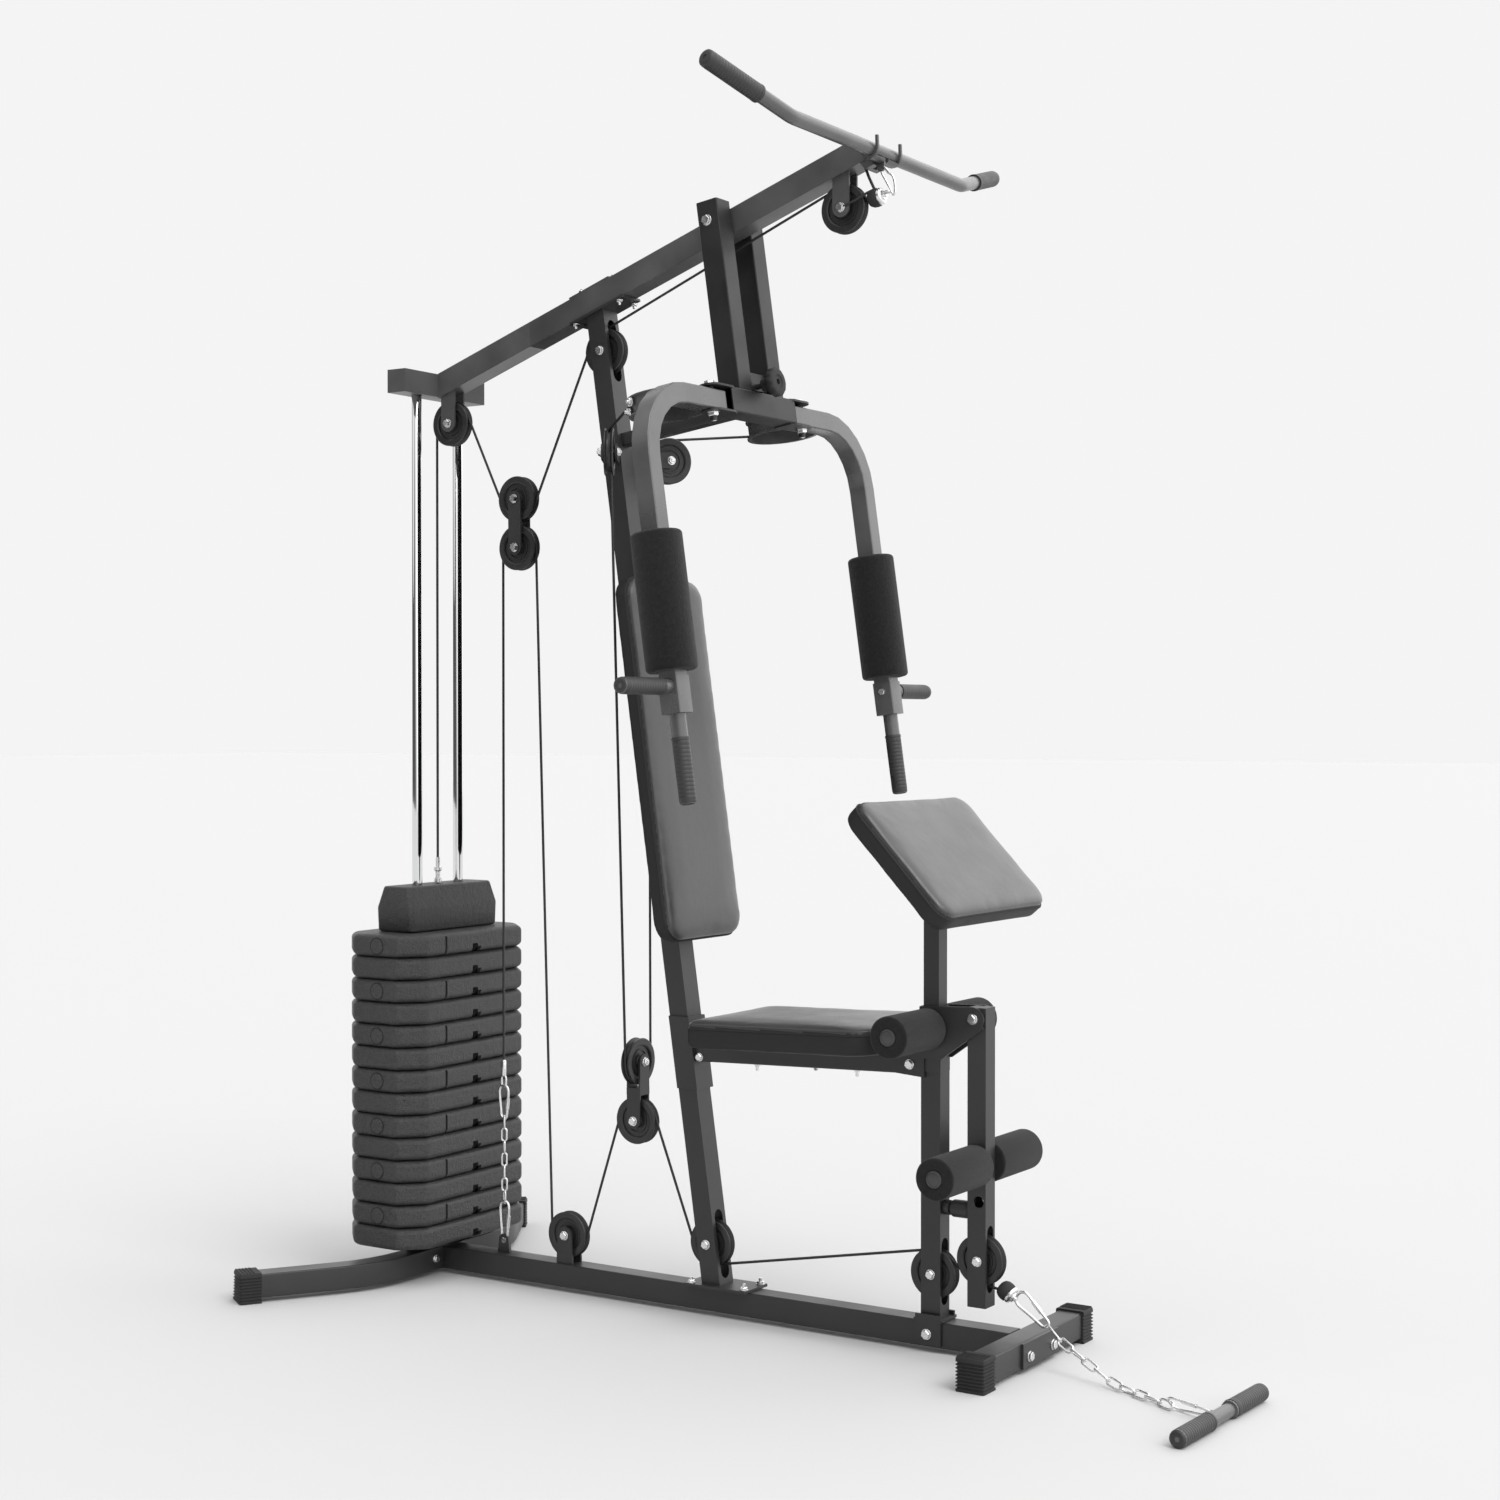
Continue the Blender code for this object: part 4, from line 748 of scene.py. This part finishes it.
def make_chains():
    # Anchor chain under the first floating block, with a hook at each end.
    x = 145.5
    top = at(x, 0, 402)
    shapes = [turned_shape([(0, -2), (4.4, -2), (4.8, 0), (4.8, 26), (3.2, 29), (0, 29)], top, Z, 16),
              link_shape(at(x, 0, 389), Z, X, 26, 15, 2.2)]
    shapes += hook_shapes(at(x + 0.3, 0, 316), at(x, 0, 381), X, 12.5)
    shapes += chain_shapes([at(x + 0.3, 0, 321), at(x + 1.2, 0, 150)], 23.0, 29.0, 14.0, 2.1)
    shapes += hook_shapes(at(x + 1.5, 0, 80), at(x + 1.2, 0, 154), X, 12.5)
    new_piece("anchor_chain_links", merged(shapes), "zinc", "frame", ["anchor_chain"], 60)
    stub = [at(x, 0, 428), at(x, 0, 446), at(x, 0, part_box("anchor_chain")[1].z / MM + 2)]
    new_piece("anchor_cable_tail", tube_shape(stub, 2.4, 12), "cable", "frame")

    # Hook under the lever.
    low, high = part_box("row_carabiner")
    start = Vector((low.x + 0.004, 0, high.z - 0.004))
    end = Vector((high.x - 0.003, 0, low.z + 0.003))
    along = (end - start).normalized()
    new_piece("lever_hook", merged(hook_shapes(end, start, along.cross(Y).normalized(), 14.0, 2.8)), "zinc",
              "lever", ["row_carabiner"], 60)

    route = chain_route()
    # The links stop where the bar's hook begins.
    linked = [p for p in route if (p - route[-1]).length > 0.066]
    chain = new_piece("row_chain_links", merged(chain_shapes(linked, 31.0, 38.0, 17.0, 2.1)), "zinc", None,
                      ["row_chain"], 60)
    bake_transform(chain)

    # Hook between the chain and the bar.
    tail = route[-1]
    before = route[-15]
    flat = tail - before
    flat.z = 0
    flat.normalize()
    middle = tail - flat * 0.076
    shapes = hook_shapes(tail + flat * 0.012, middle - Z * 0.001, flat.cross(Z) * 0.62 + Z * 0.78, 14.0, 2.2)
    hook = new_piece("bar_hook", merged(shapes), "zinc", "frame", sharp=60)


def make_balls():
    for node, body in (("lat_ball_stop", "frame"), ("low_ball_stop", "lever")):
        low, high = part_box(node)
        centre = (low + high) / 2
        if node == "lat_ball_stop":
            axis = (at(997.5, 0, 2017.5) - at(965, 0, 2012)).normalized()
        else:
            axis = Vector((0.82, 0, -0.57)).normalized()
        cup = [(3.0, -15), (9, -15), (13, -12.5), (16, -7), (16.8, -1), (16.4, 4), (15.2, 6), (15.2, 7),
               (3.0, 7)]
        new_piece("cup_" + node, turned_shape(cup, centre, axis, 36, closed=True), "rubber", body,
                  [node], 40)
        end = [(0, 5), (14.0, 5), (15.2, 7), (15.2, 11), (13.6, 13), (9.5, 14), (8.6, 17), (5.0, 17.6),
               (4.4, 21), (0, 21)]
        new_piece("ferrule_" + node, turned_shape(end, centre, axis, 36), "zinc", body,
                  sharp=40)


# ---- bars and grips


def bar_line(bends, radius=60.0, steps=7):
    """A line through corners, each rounded with the given bend radius in mm."""
    made = [bends[0]]
    for before, corner, after in zip(bends, bends[1:], bends[2:]):
        a = (before - corner).normalized()
        b = (after - corner).normalized()
        half = a.angle(b) / 2
        reach = radius * MM / tan(half)
        centre = corner + (a + b).normalized() * radius * MM / sin(half)
        start = corner + a * reach - centre
        end = corner + b * reach - centre
        for k in range(steps + 1):
            made.append(centre + start.slerp(end, k / steps) * radius * MM)
    made.append(bends[-1])
    return made


def grip_shape(start, end, radius=15.5):
    """A rubber hand grip with a collar at its inner end, a rounded outer end and fine ribs."""
    length = (end - start).length / MM
    profile = [(12.6, 0), (radius + 0.2, 0), (radius + 0.4, 1.2), (radius + 0.4, 4.5), (radius - 0.5, 5.4)]
    at_mm = 8.0
    while at_mm < length - 12:
        profile += [(radius - 0.1, at_mm), (radius - 0.1, at_mm + 5.6), (radius - 0.45, at_mm + 6.3)]
        at_mm += 7.0
    profile += [(radius - 0.2, length - 7), (radius - 0.9, length - 3), (radius - 3.2, length - 0.8),
                (radius - 6, length), (4.5, length), (4.0, length - 1.5), (0, length - 1.5)]
    return turned_shape(profile, start, end - start, 32)


def make_bars():
    corners = [at(957, -500, 2147), at(993, -300, 2091.5), at(993, 300, 2091.5), at(957, 500, 2147)]
    shapes = [tube_shape(bar_line(corners), 12.5, 28)]
    lug = [(985, 2081), (1001, 2081), (1000, 2064), (996, 2059), (990, 2059), (986, 2064)]
    shapes.append(skin([[at(x, y, z) for x, z in lug] for y in (-2.5, 2.5)]))
    # The lat bar takes the arms' coat, painted lighter: painted light.
    new_piece("lat_bar_round", merged(shapes), "coat_arm_painted_lit", "frame", ["lat_bar"], 45)
    shapes = []
    for side in (-1, 1):
        bend, end = at(993, side * 300, 2091.5), at(957, side * 500, 2147)
        out = (end - bend).normalized()
        shapes.append(grip_shape(bend + out * 0.082, end + out * 0.002))
    new_piece("lat_bar_grips", merged(shapes), "grip", "frame", sharp=40)

    near = at(1678, -304, 14.6)
    far = at(1692.7, 9, 14.6)
    run = (far - near).normalized()
    hub = near.lerp(far, 0.5)
    back = Vector((-run.y, run.x, 0))
    line = [near + run * 0.126, hub, far - run * 0.126]
    lug = [(5, -7), (18, -7), (24, -3), (24, 3), (18, 7), (5, 7)]
    shapes = [tube_shape(line, 11.3, 28),
              skin([[hub + (back * a + run * b + Z * h) * MM for a, b in lug] for h in (-2.5, 2.5)])]
    new_piece("row_bar_lug", merged(shapes), "coat_arm_painted_lit", "frame", sharp=45)
    # The row bar node takes the same lighter coat of painted light.
    bar = NODES["row_bar"]
    bar.data.materials.clear()
    bar.data.materials.append(MATERIALS["coat_arm_painted_lit"])
    shapes = [grip_shape(near + run * 0.112, near - run * 0.001, 14.9),
              grip_shape(far - run * 0.119, far + run * 0.001, 14.9)]
    new_piece("row_bar_grips", merged(shapes), "grip", "frame", sharp=40)

    for side, tail in SIDES:
        y = side * ARM_Y
        shapes = [grip_shape(tilted(y + side * 40, 514, ARM_BACK), tilted(side * 517, 514, ARM_BACK), 14.6),
                  grip_shape(tilted(y, 600, ARM_BACK), tilted(y, 714, ARM_BACK), 15.0)]
        new_piece("hand_grips_" + tail, merged(shapes), "grip", "arm_" + tail, sharp=40)


def make_lat_hook():
    """The snap hook from the lat bar's eye to the ball, and the wire guard round the front pulley."""
    shapes = hook_shapes(at(993, 0, 2066), at(1021, 0, 2026), X.cross(Y), 15.0, 2.2)
    shapes += [link_shape(at(1001, 0, 2022), X, Y, 26, 13, 2.0)]
    new_piece("lat_hook", merged(shapes), "zinc", "frame", sharp=60)
    shapes = [tube_shape([at(958, 0, 2078), at(968, 1, 2052), at(981, 0, 2027)], 2.6, 10),
              tube_shape([at(919.5, -16, 2002), at(950, -16, 2011), at(972, -13, 2022), at(983, -4, 2029)],
                         2.2, 10)]
    new_piece("pulley_guard", merged(shapes), "cable", "frame", sharp=60)


# ---- foam, caps and knob


def make_foam():
    for node in ("upper_roller_near", "upper_roller_far", "lower_roller_near", "lower_roller_far"):
        low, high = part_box(node)
        side = side_of(node)
        inner, outer = sorted((abs(low.y), abs(high.y)))
        centre = Vector(((low.x + high.x) / 2, 0, (low.z + high.z) / 2))
        a, b = inner / MM, outer / MM
        profile = [(13.2, a)] + rounded(36, a, b, 5, 5) + [(20, b + 0.4), (14.6, b - 0.4)]
        new_piece("foam_" + node, turned_shape(profile, centre, side * Y, 64, closed=True), "foam",
                  BODY[node], [node], 60)
        cap = [(13.6, b - 8), (14.4, b + 0.2), (14.2, b + 1.4), (12.6, b + 2.2), (12.0, b + 1.0),
               (9, b + 1.6), (5, b + 2.2), (0, b + 2.4)]
        new_piece("plug_" + node, turned_shape([(0, b - 8)] + cap, centre, side * Y, 40), "plug", BODY[node],
                  sharp=35)
    for side, tail in SIDES:
        node = "arm_foam_" + tail
        start = tilted(side * ARM_Y, 251, ARM_BACK)
        profile = [(19, 0)] + rounded(44.5, 0, 237, 7, 5) + [(19, 237)]
        new_piece("foam_sleeve_" + tail, turned_shape(profile, start, DOWN, 72, closed=True), "foam",
                  BODY[node], [node], 60)


def make_caps():
    """Rubber feet with fine ridges round their closed ends."""
    sweep = radians(33)
    for node in ("rear_cap_near", "rear_cap_far", "front_cap_near", "front_cap_far"):
        side = side_of(node)
        if node.startswith("rear"):
            along = Vector((-sin(sweep), side * cos(sweep), 0))
            flare = 10.0
        else:
            along = Vector((0, side, 0))
            flare = 0.0
        across = Vector((along.y, -along.x, 0)) * side
        corners = [v.co.copy() for v in NODES[node].data.vertices]
        reach = [c.dot(along) for c in corners]
        spread = [c.dot(across) for c in corners if c.z > 0.05]
        tip, heel = max(reach), min(reach)
        mid = (max(spread) + min(spread)) / 2
        half = (max(spread) - min(spread)) / 2
        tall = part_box(node)[1].z
        loops = []
        levels = [(0.0, 0.8), (0.0015, 0.0)]
        pitch = 0.0058
        height = 0.004
        while height < tall - 0.009:
            levels += [(height, 0.0), (height + 0.0016, 2.3), (height + 0.0032, 2.3)]
            height += pitch
            levels.append((height - 0.001, 0.0))
        levels += [(tall - 0.0045, 0.0), (tall - 0.0015, 0.5), (tall, 2.0)]
        for z, inset in levels:
            grow = flare * MM * max(0.0, 1 - z / 0.05) if z < 0.05 else 0.0
            a0, a1 = heel + 0.001, tip - inset * MM
            b0, b1 = mid - half - grow + inset * MM, mid + half - inset * MM
            soft = 0.004
            plan = [(a0, b0), (a1 - soft, b0), (a1 - soft * 0.3, b0 + soft * 0.3), (a1, b0 + soft),
                    (a1, b1 - soft), (a1 - soft * 0.3, b1 - soft * 0.3), (a1 - soft, b1), (a0, b1)]
            loops.append([along * a + across * b + Z * z for a, b in plan])
        shapes = [skin(loops)]
        for k in range(5):
            spot = along * (tip - 0.004 - k * 0.0062) + across * mid + Z * (tall + 0.0004)
            shapes.append(box_shape(spot, across, along, Z, (half * 2000 - 5, 2.6, 2.4), 0.7))
        new_piece("ribbed_" + node, merged(shapes), "rubber", BODY[node], [node], 35)


def make_knob():
    node = "lock_knob"
    hub = at(PRESS_PIVOT[0], 0, PRESS_PIVOT[1]) + (DOWN * 301.5 + AHEAD * 16.5) * MM
    axis, u, v = axes_of(AHEAD)
    loops = []
    for height, radius, wave in ((30, 0.05, 0), (31, 22, 0), (33, 24.5, 0.4), (36, 26, 1.1), (43, 26, 1.1),
                                 (46, 24.5, 0.4), (47.2, 22.5, 0), (47.2, 13, 0), (45.6, 11.5, 0),
                                 (45.6, 5.5, 0), (41, 5.0, 0), (41, 0.05, 0)):
        loop = []
        for k in range(72):
            a = 2 * pi * k / 72
            r = (radius + wave * cos(12 * a)) * MM
            loop.append(hub + axis * height * MM + (u * cos(a) + v * sin(a)) * r)
        loops.append(loop)
    shapes = [skin(loops)]
    shapes.append(turned_shape([(0, 14), (12, 14), (12.5, 16), (12.5, 31), (0, 31)], hub, AHEAD, 28))
    shapes.append(turned_shape([(0, -34), (5, -34), (5, 16), (0, 16)], hub, AHEAD, 20))
    new_piece("knurled_knob", merged(shapes), "rubber", BODY[node], [node], 40)


def make_bumper():
    node = "lever_bumper"
    low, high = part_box(node)
    centre = Vector((low.x, 0, (low.z + high.z) / 2))
    span = (high.x - low.x) / MM
    stud = [(0, 0), (12.5, 0), (13, 1), (13, 12), (9, 13.5), (8.5, 15.5), (14, 17), (15.2, 19),
            (15.4, span - 5), (14.6, span - 2), (12.6, span - 0.2), (0, span)]
    new_piece("rubber_buffer", turned_shape(stud, centre, X, 40), "grip", BODY[node], [node],
              40)


# ---- weight stack


def octagon(half_x, half_y, cut, z, soft=6.0):
    """Eight sides with each corner rounded off by two points."""
    corners = eight_sides(half_x, half_y, cut)
    made = []
    for i, (x, y) in enumerate(corners):
        here = Vector((x, y))
        before = (Vector(corners[i - 1]) - here).normalized()
        after = (Vector(corners[(i + 1) % 8]) - here).normalized()
        start, end = here + before * soft, here + after * soft
        middle = (start + end) / 2 * 0.55 + here * 0.45
        for p in (start, middle, end):
            made.append(at(STACK_X + p.x, p.y, z))
    return made


def cut_in(face, y0, y1, depth):
    return [(face, y0), (face - depth, y0), (face - depth, y1), (face, y1)]


def plate_outline(inset, z, notch, ledge, slot):
    """The eight-sided outline. notch, ledge and slot are the depths in mm of the cuts in each X face."""
    corners = octagon(PLATE_X - inset - 0.4, PLATE_Y - inset - 0.4, PLATE_CUT, z)
    face = PLATE_X - inset - 0.4
    cuts = ((-92.0, -86.0, slot), (-9.0, 7.0, notch), (7.0, 17.0, ledge))
    made = corners[0:6]
    for y0, y1, depth in cuts:
        made += [at(STACK_X + x, y, z) for x, y in cut_in(face, y0, y1, depth)]
    made += corners[6:18]
    for y0, y1, depth in reversed(cuts):
        made += [at(STACK_X - x, y, z) for x, y in cut_in(face, y1, y0, depth)]
    made += corners[18:24]
    return made


def plate_shape(low, high, slotted):
    """One slab with rounded edges, a notch for the pin at the bottom of each X face, and a slot in some."""
    radius = 11.0
    levels = [(low + radius * (1 - c), radius * (1 - s)) for s, c in quarter(6)]
    levels += [(z, 0.0) for z in (low + 12.5, low + 16.5, low + 17.0, low + 19.0, high - 11.5)]
    levels += [(high - radius * (1 - s), radius * (1 - c)) for s, c in quarter(6)]
    loops = []
    for z, inset in levels:
        notch = 16.0 if z < low + 16.8 else 0.0
        ledge = 5.0 if z < low + 9.0 else 0.0
        slot = 9.0 if slotted and low + 3.0 < z < high - 7.0 else 0.0
        loops.append(plate_outline(inset, z, notch, ledge, slot))
    return skin(loops)


def make_plates():
    shapes = {}
    groove_shade_rings = []
    plugs = []
    for index in range(PLATES):
        low = STACK_Z + PITCH * index
        odd = (PLATES - 1 - index) % 2 == 0
        top = index == PLATES - 1
        shapes.setdefault(top, []).append(plate_shape(low + 0.5, low + PITCH - 0.1, odd))
        if odd:
            for side in (-1, 1):
                centre = at(STACK_X + 6, side * (PLATE_Y - 4), low + 21.5)
                disc = [(0, 0), (15, 0), (15, 3.6), (14.4, 4.9), (13, 5.3), (0, 5.5)]
                plugs.append(turned_shape(disc, centre, side * Y, 36))
                # A flat dark ring round each filler disc is painted shade, standing in for the shadow in the
                # groove round the disc.
                rim = [(14.6, 3.0), (16.6, 3.0), (16.6, 4.0), (14.6, 4.0)]
                groove_shade_rings.append(turned_shape(rim, centre, side * Y, 36, closed=True))
    for top, name, node in ((False, "vinyl_plates_lower", "weight_plates_lower"),
                            (True, "vinyl_plate_top", "weight_plate_top")):
        new_piece(name, merged(shapes[top]), "plate", "stack", [node], 40)
    new_piece("plate_fillers", merged(plugs), "plate", "stack", sharp=40)
    new_piece("plate_painted_groove_shade", merged(groove_shade_rings), "groove_shade", "stack", sharp=40)

    base = STACK_Z + PITCH * PLATES + 0.8
    loops = []
    for z, hx, hy, cut in ((0, 42, 125.5, 5), (1.2, 45, 128.5, 6), (4, 46.4, 130.2, 7), (44.5, 47, 132.8, 8),
                           (47.5, 46.6, 132.8, 8), (85, 36, 127.2, 8), (87.4, 34.2, 125.4, 7),
                           (88.2, 31.5, 122.8, 6)):
        loops.append(octagon(hx, hy, cut, base + z, 2.0))
    new_piece("vinyl_header", skin(loops), "plate", "stack", ["weight_head"], 60)
    selector = turned_shape([(0, 0), (9, 0), (9, base - STACK_Z - 8), (0, base - STACK_Z - 8)],
                            at(STACK_X, 0, STACK_Z + 6), Z, 24)
    new_piece("selector_rod", selector, "zinc", "stack", sharp=40)


# ---- upholstery


def rounded_rect(half_a, half_b, radius, inset, steps=8):
    made = []
    for sa, sb, start in ((1, -1, -90), (1, 1, 0), (-1, 1, 90), (-1, -1, 180)):
        r = radius[0] if sa > 0 else radius[1]
        reach = max(r - inset, 0.5)
        for k in range(steps + 1):
            a = radians(start + 90 * k / steps)
            made.append((sa * (half_a - r) + reach * cos(a), sb * (half_b - r) + reach * sin(a)))
    return made


def applied(obj):
    """The object's mesh with its modifiers worked in, and the object rid of them."""
    graph = bpy.context.evaluated_depsgraph_get()
    mesh = bpy.data.meshes.new_from_object(obj.evaluated_get(graph))
    obj.modifiers.clear()
    return mesh


def simulate(obj, pressure, cap):
    """Fills the form with air under a cloth skin, with each point held within cap metres of its start."""
    rest = [v.co.copy() for v in obj.data.vertices]
    settings = obj.modifiers.new("cloth", "CLOTH").settings
    settings.quality = 5
    settings.mass = 0.3
    settings.tension_stiffness = 25
    settings.compression_stiffness = 25
    settings.shear_stiffness = 12
    settings.bending_stiffness = 1.2
    settings.use_pressure = True
    settings.uniform_pressure_force = pressure
    settings.effector_weights.gravity = 0
    for frame_number in range(1, 21):
        SCENE.frame_set(frame_number)
    mesh = applied(obj)
    for vertex, start in zip(mesh.vertices, rest):
        move = vertex.co - start
        if move.length > cap:
            vertex.co = start + move * (cap / move.length)
    obj.data = mesh
    SCENE.frame_set(1)


def cushion(name, node, centre, u, v, n, half_u, half_v, thick, radius, body):
    """A boxed pad with a crowned top, a side band and a seam. Sizes are in mm, and centre is on its back."""
    inset = 3.0
    levels = [(0, 7), (1.5, 3), (5, 0.5), (thick * 0.5, 0), (thick - 15, 0), (thick - 10, 0.6),
              (thick - 6, 2.6), (thick - 3.2, 6.0), (thick - 2.0, 10.0)]
    loops = [[centre + (u * a + v * b + n * height) * MM
              for a, b in rounded_rect(half_u - inset, half_v - inset, radius, shrink)]
             for height, shrink in levels]
    obj = new_piece(name, skin(loops), "vinyl", None)
    step = obj.modifiers.new("remesh", "REMESH")
    step.mode = "VOXEL"
    step.voxel_size = 0.0055
    obj.data = applied(obj)
    simulate(obj, 4.0, 0.0022)
    # The front panel is drawn up into a shallow crown, and its edge is held down along the seam.
    for vertex in obj.data.vertices:
        rel = (vertex.co - centre) / MM
        a, b, h = rel.dot(u), rel.dot(v), rel.dot(n)
        if h > thick - 9:
            edge = min(half_u - abs(a), half_v - abs(b))
            rise = 3.0 * min(1.0, max(0.0, edge / 60.0))
            vertex.co += n * (rise - 0.8) * MM
    smooth = obj.modifiers.new("smooth", "SMOOTH")
    smooth.factor = 0.5
    smooth.iterations = 8
    finer = obj.modifiers.new("finer", "SUBSURF")
    finer.levels = 1
    finer.render_levels = 1
    obj.data = applied(obj)
    obj.data.materials.clear()
    obj.data.materials.append(MATERIALS["vinyl"])
    obj.data.materials.append(MATERIALS["boxing"])
    seam = thick - 11.0
    normals = [vertex.normal.copy() for vertex in obj.data.vertices]
    for vertex, normal in zip(obj.data.vertices, normals):
        rel = (vertex.co - centre) / MM
        depth = 2.2 * exp(-((rel.dot(n) - seam) / 2.8) ** 2)
        out = normal - n * normal.dot(n)
        if out.length > 0.5:
            vertex.co -= out.normalized() * depth * MM
    # Faces below the seam take the side band's material, whose darker grey is partly painted shade.
    for face in obj.data.polygons:
        height = (face.center - centre).dot(n) / MM
        face.material_index = 1 if height < seam else 0
        face.use_smooth = True
    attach(obj, body)
    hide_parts(node)

    # The seam is a fine cord laid where the skin of the pad is.
    tree = tree_of(obj.data)
    line = []
    for a, b in rounded_rect(half_u + 4, half_v + 4, (radius[0] + 4, radius[1] + 4), 0, 10):
        spot = centre + (u * a + v * b + n * seam) * MM
        line.append(tree.find_nearest(spot)[0])
    even = []
    for p, q in zip(line, line[1:] + line[:1]):
        parts = max(1, round((q - p).length / 0.012))
        for k in range(parts):
            spot = p.lerp(q, k / parts)
            near, normal, _, _ = tree.find_nearest(spot)
            even.append(near + normal * 0.0002)
    new_piece(name + "_seam", tube_shape(even, 1.3, 8, closed=True), "seam", body, sharp=80)


def make_pads():
    tilt = atan(SEAT_SLOPE)
    ahead = Vector((cos(tilt), 0, sin(tilt)))
    above = Vector((-sin(tilt), 0, cos(tilt)))
    middle = 862.0
    seat_z = 509.0 + SEAT_SLOPE * (middle - 663.0)
    cushion("seat_cushion", "seat_pad", at(middle, 0, seat_z), ahead, Y, above, 199, 150, 50, (55, 26),
            "frame")
    rise = Vector((-sin(LEAN), 0, cos(LEAN)))
    z_mid = 1022.0
    centre = at(upright_x(z_mid) + 33.3, 0, z_mid)
    cushion("back_cushion", "back_pad", centre, rise, -Y, AHEAD, 343, 125, 43, (42, 42), "frame")
    slope = radians(-46.8)
    along = Vector((cos(slope), 0, sin(slope)))
    up = Vector((-sin(slope), 0, cos(slope)))
    centre = at(1144, 0, 868.7) - up * 46 * MM
    cushion("curl_cushion", "preacher_pad", centre, along, Y, up, 135, 200, 46, (36, 36), "preacher")


make_stage()
MATERIALS = make_materials()
for make in (make_frame, make_rods, make_pulleys, make_cables, make_plates, make_foam, make_caps, make_knob,
             make_bumper, make_balls, make_bars, make_chains, make_lat_hook, make_bolts, make_pads):
    make()
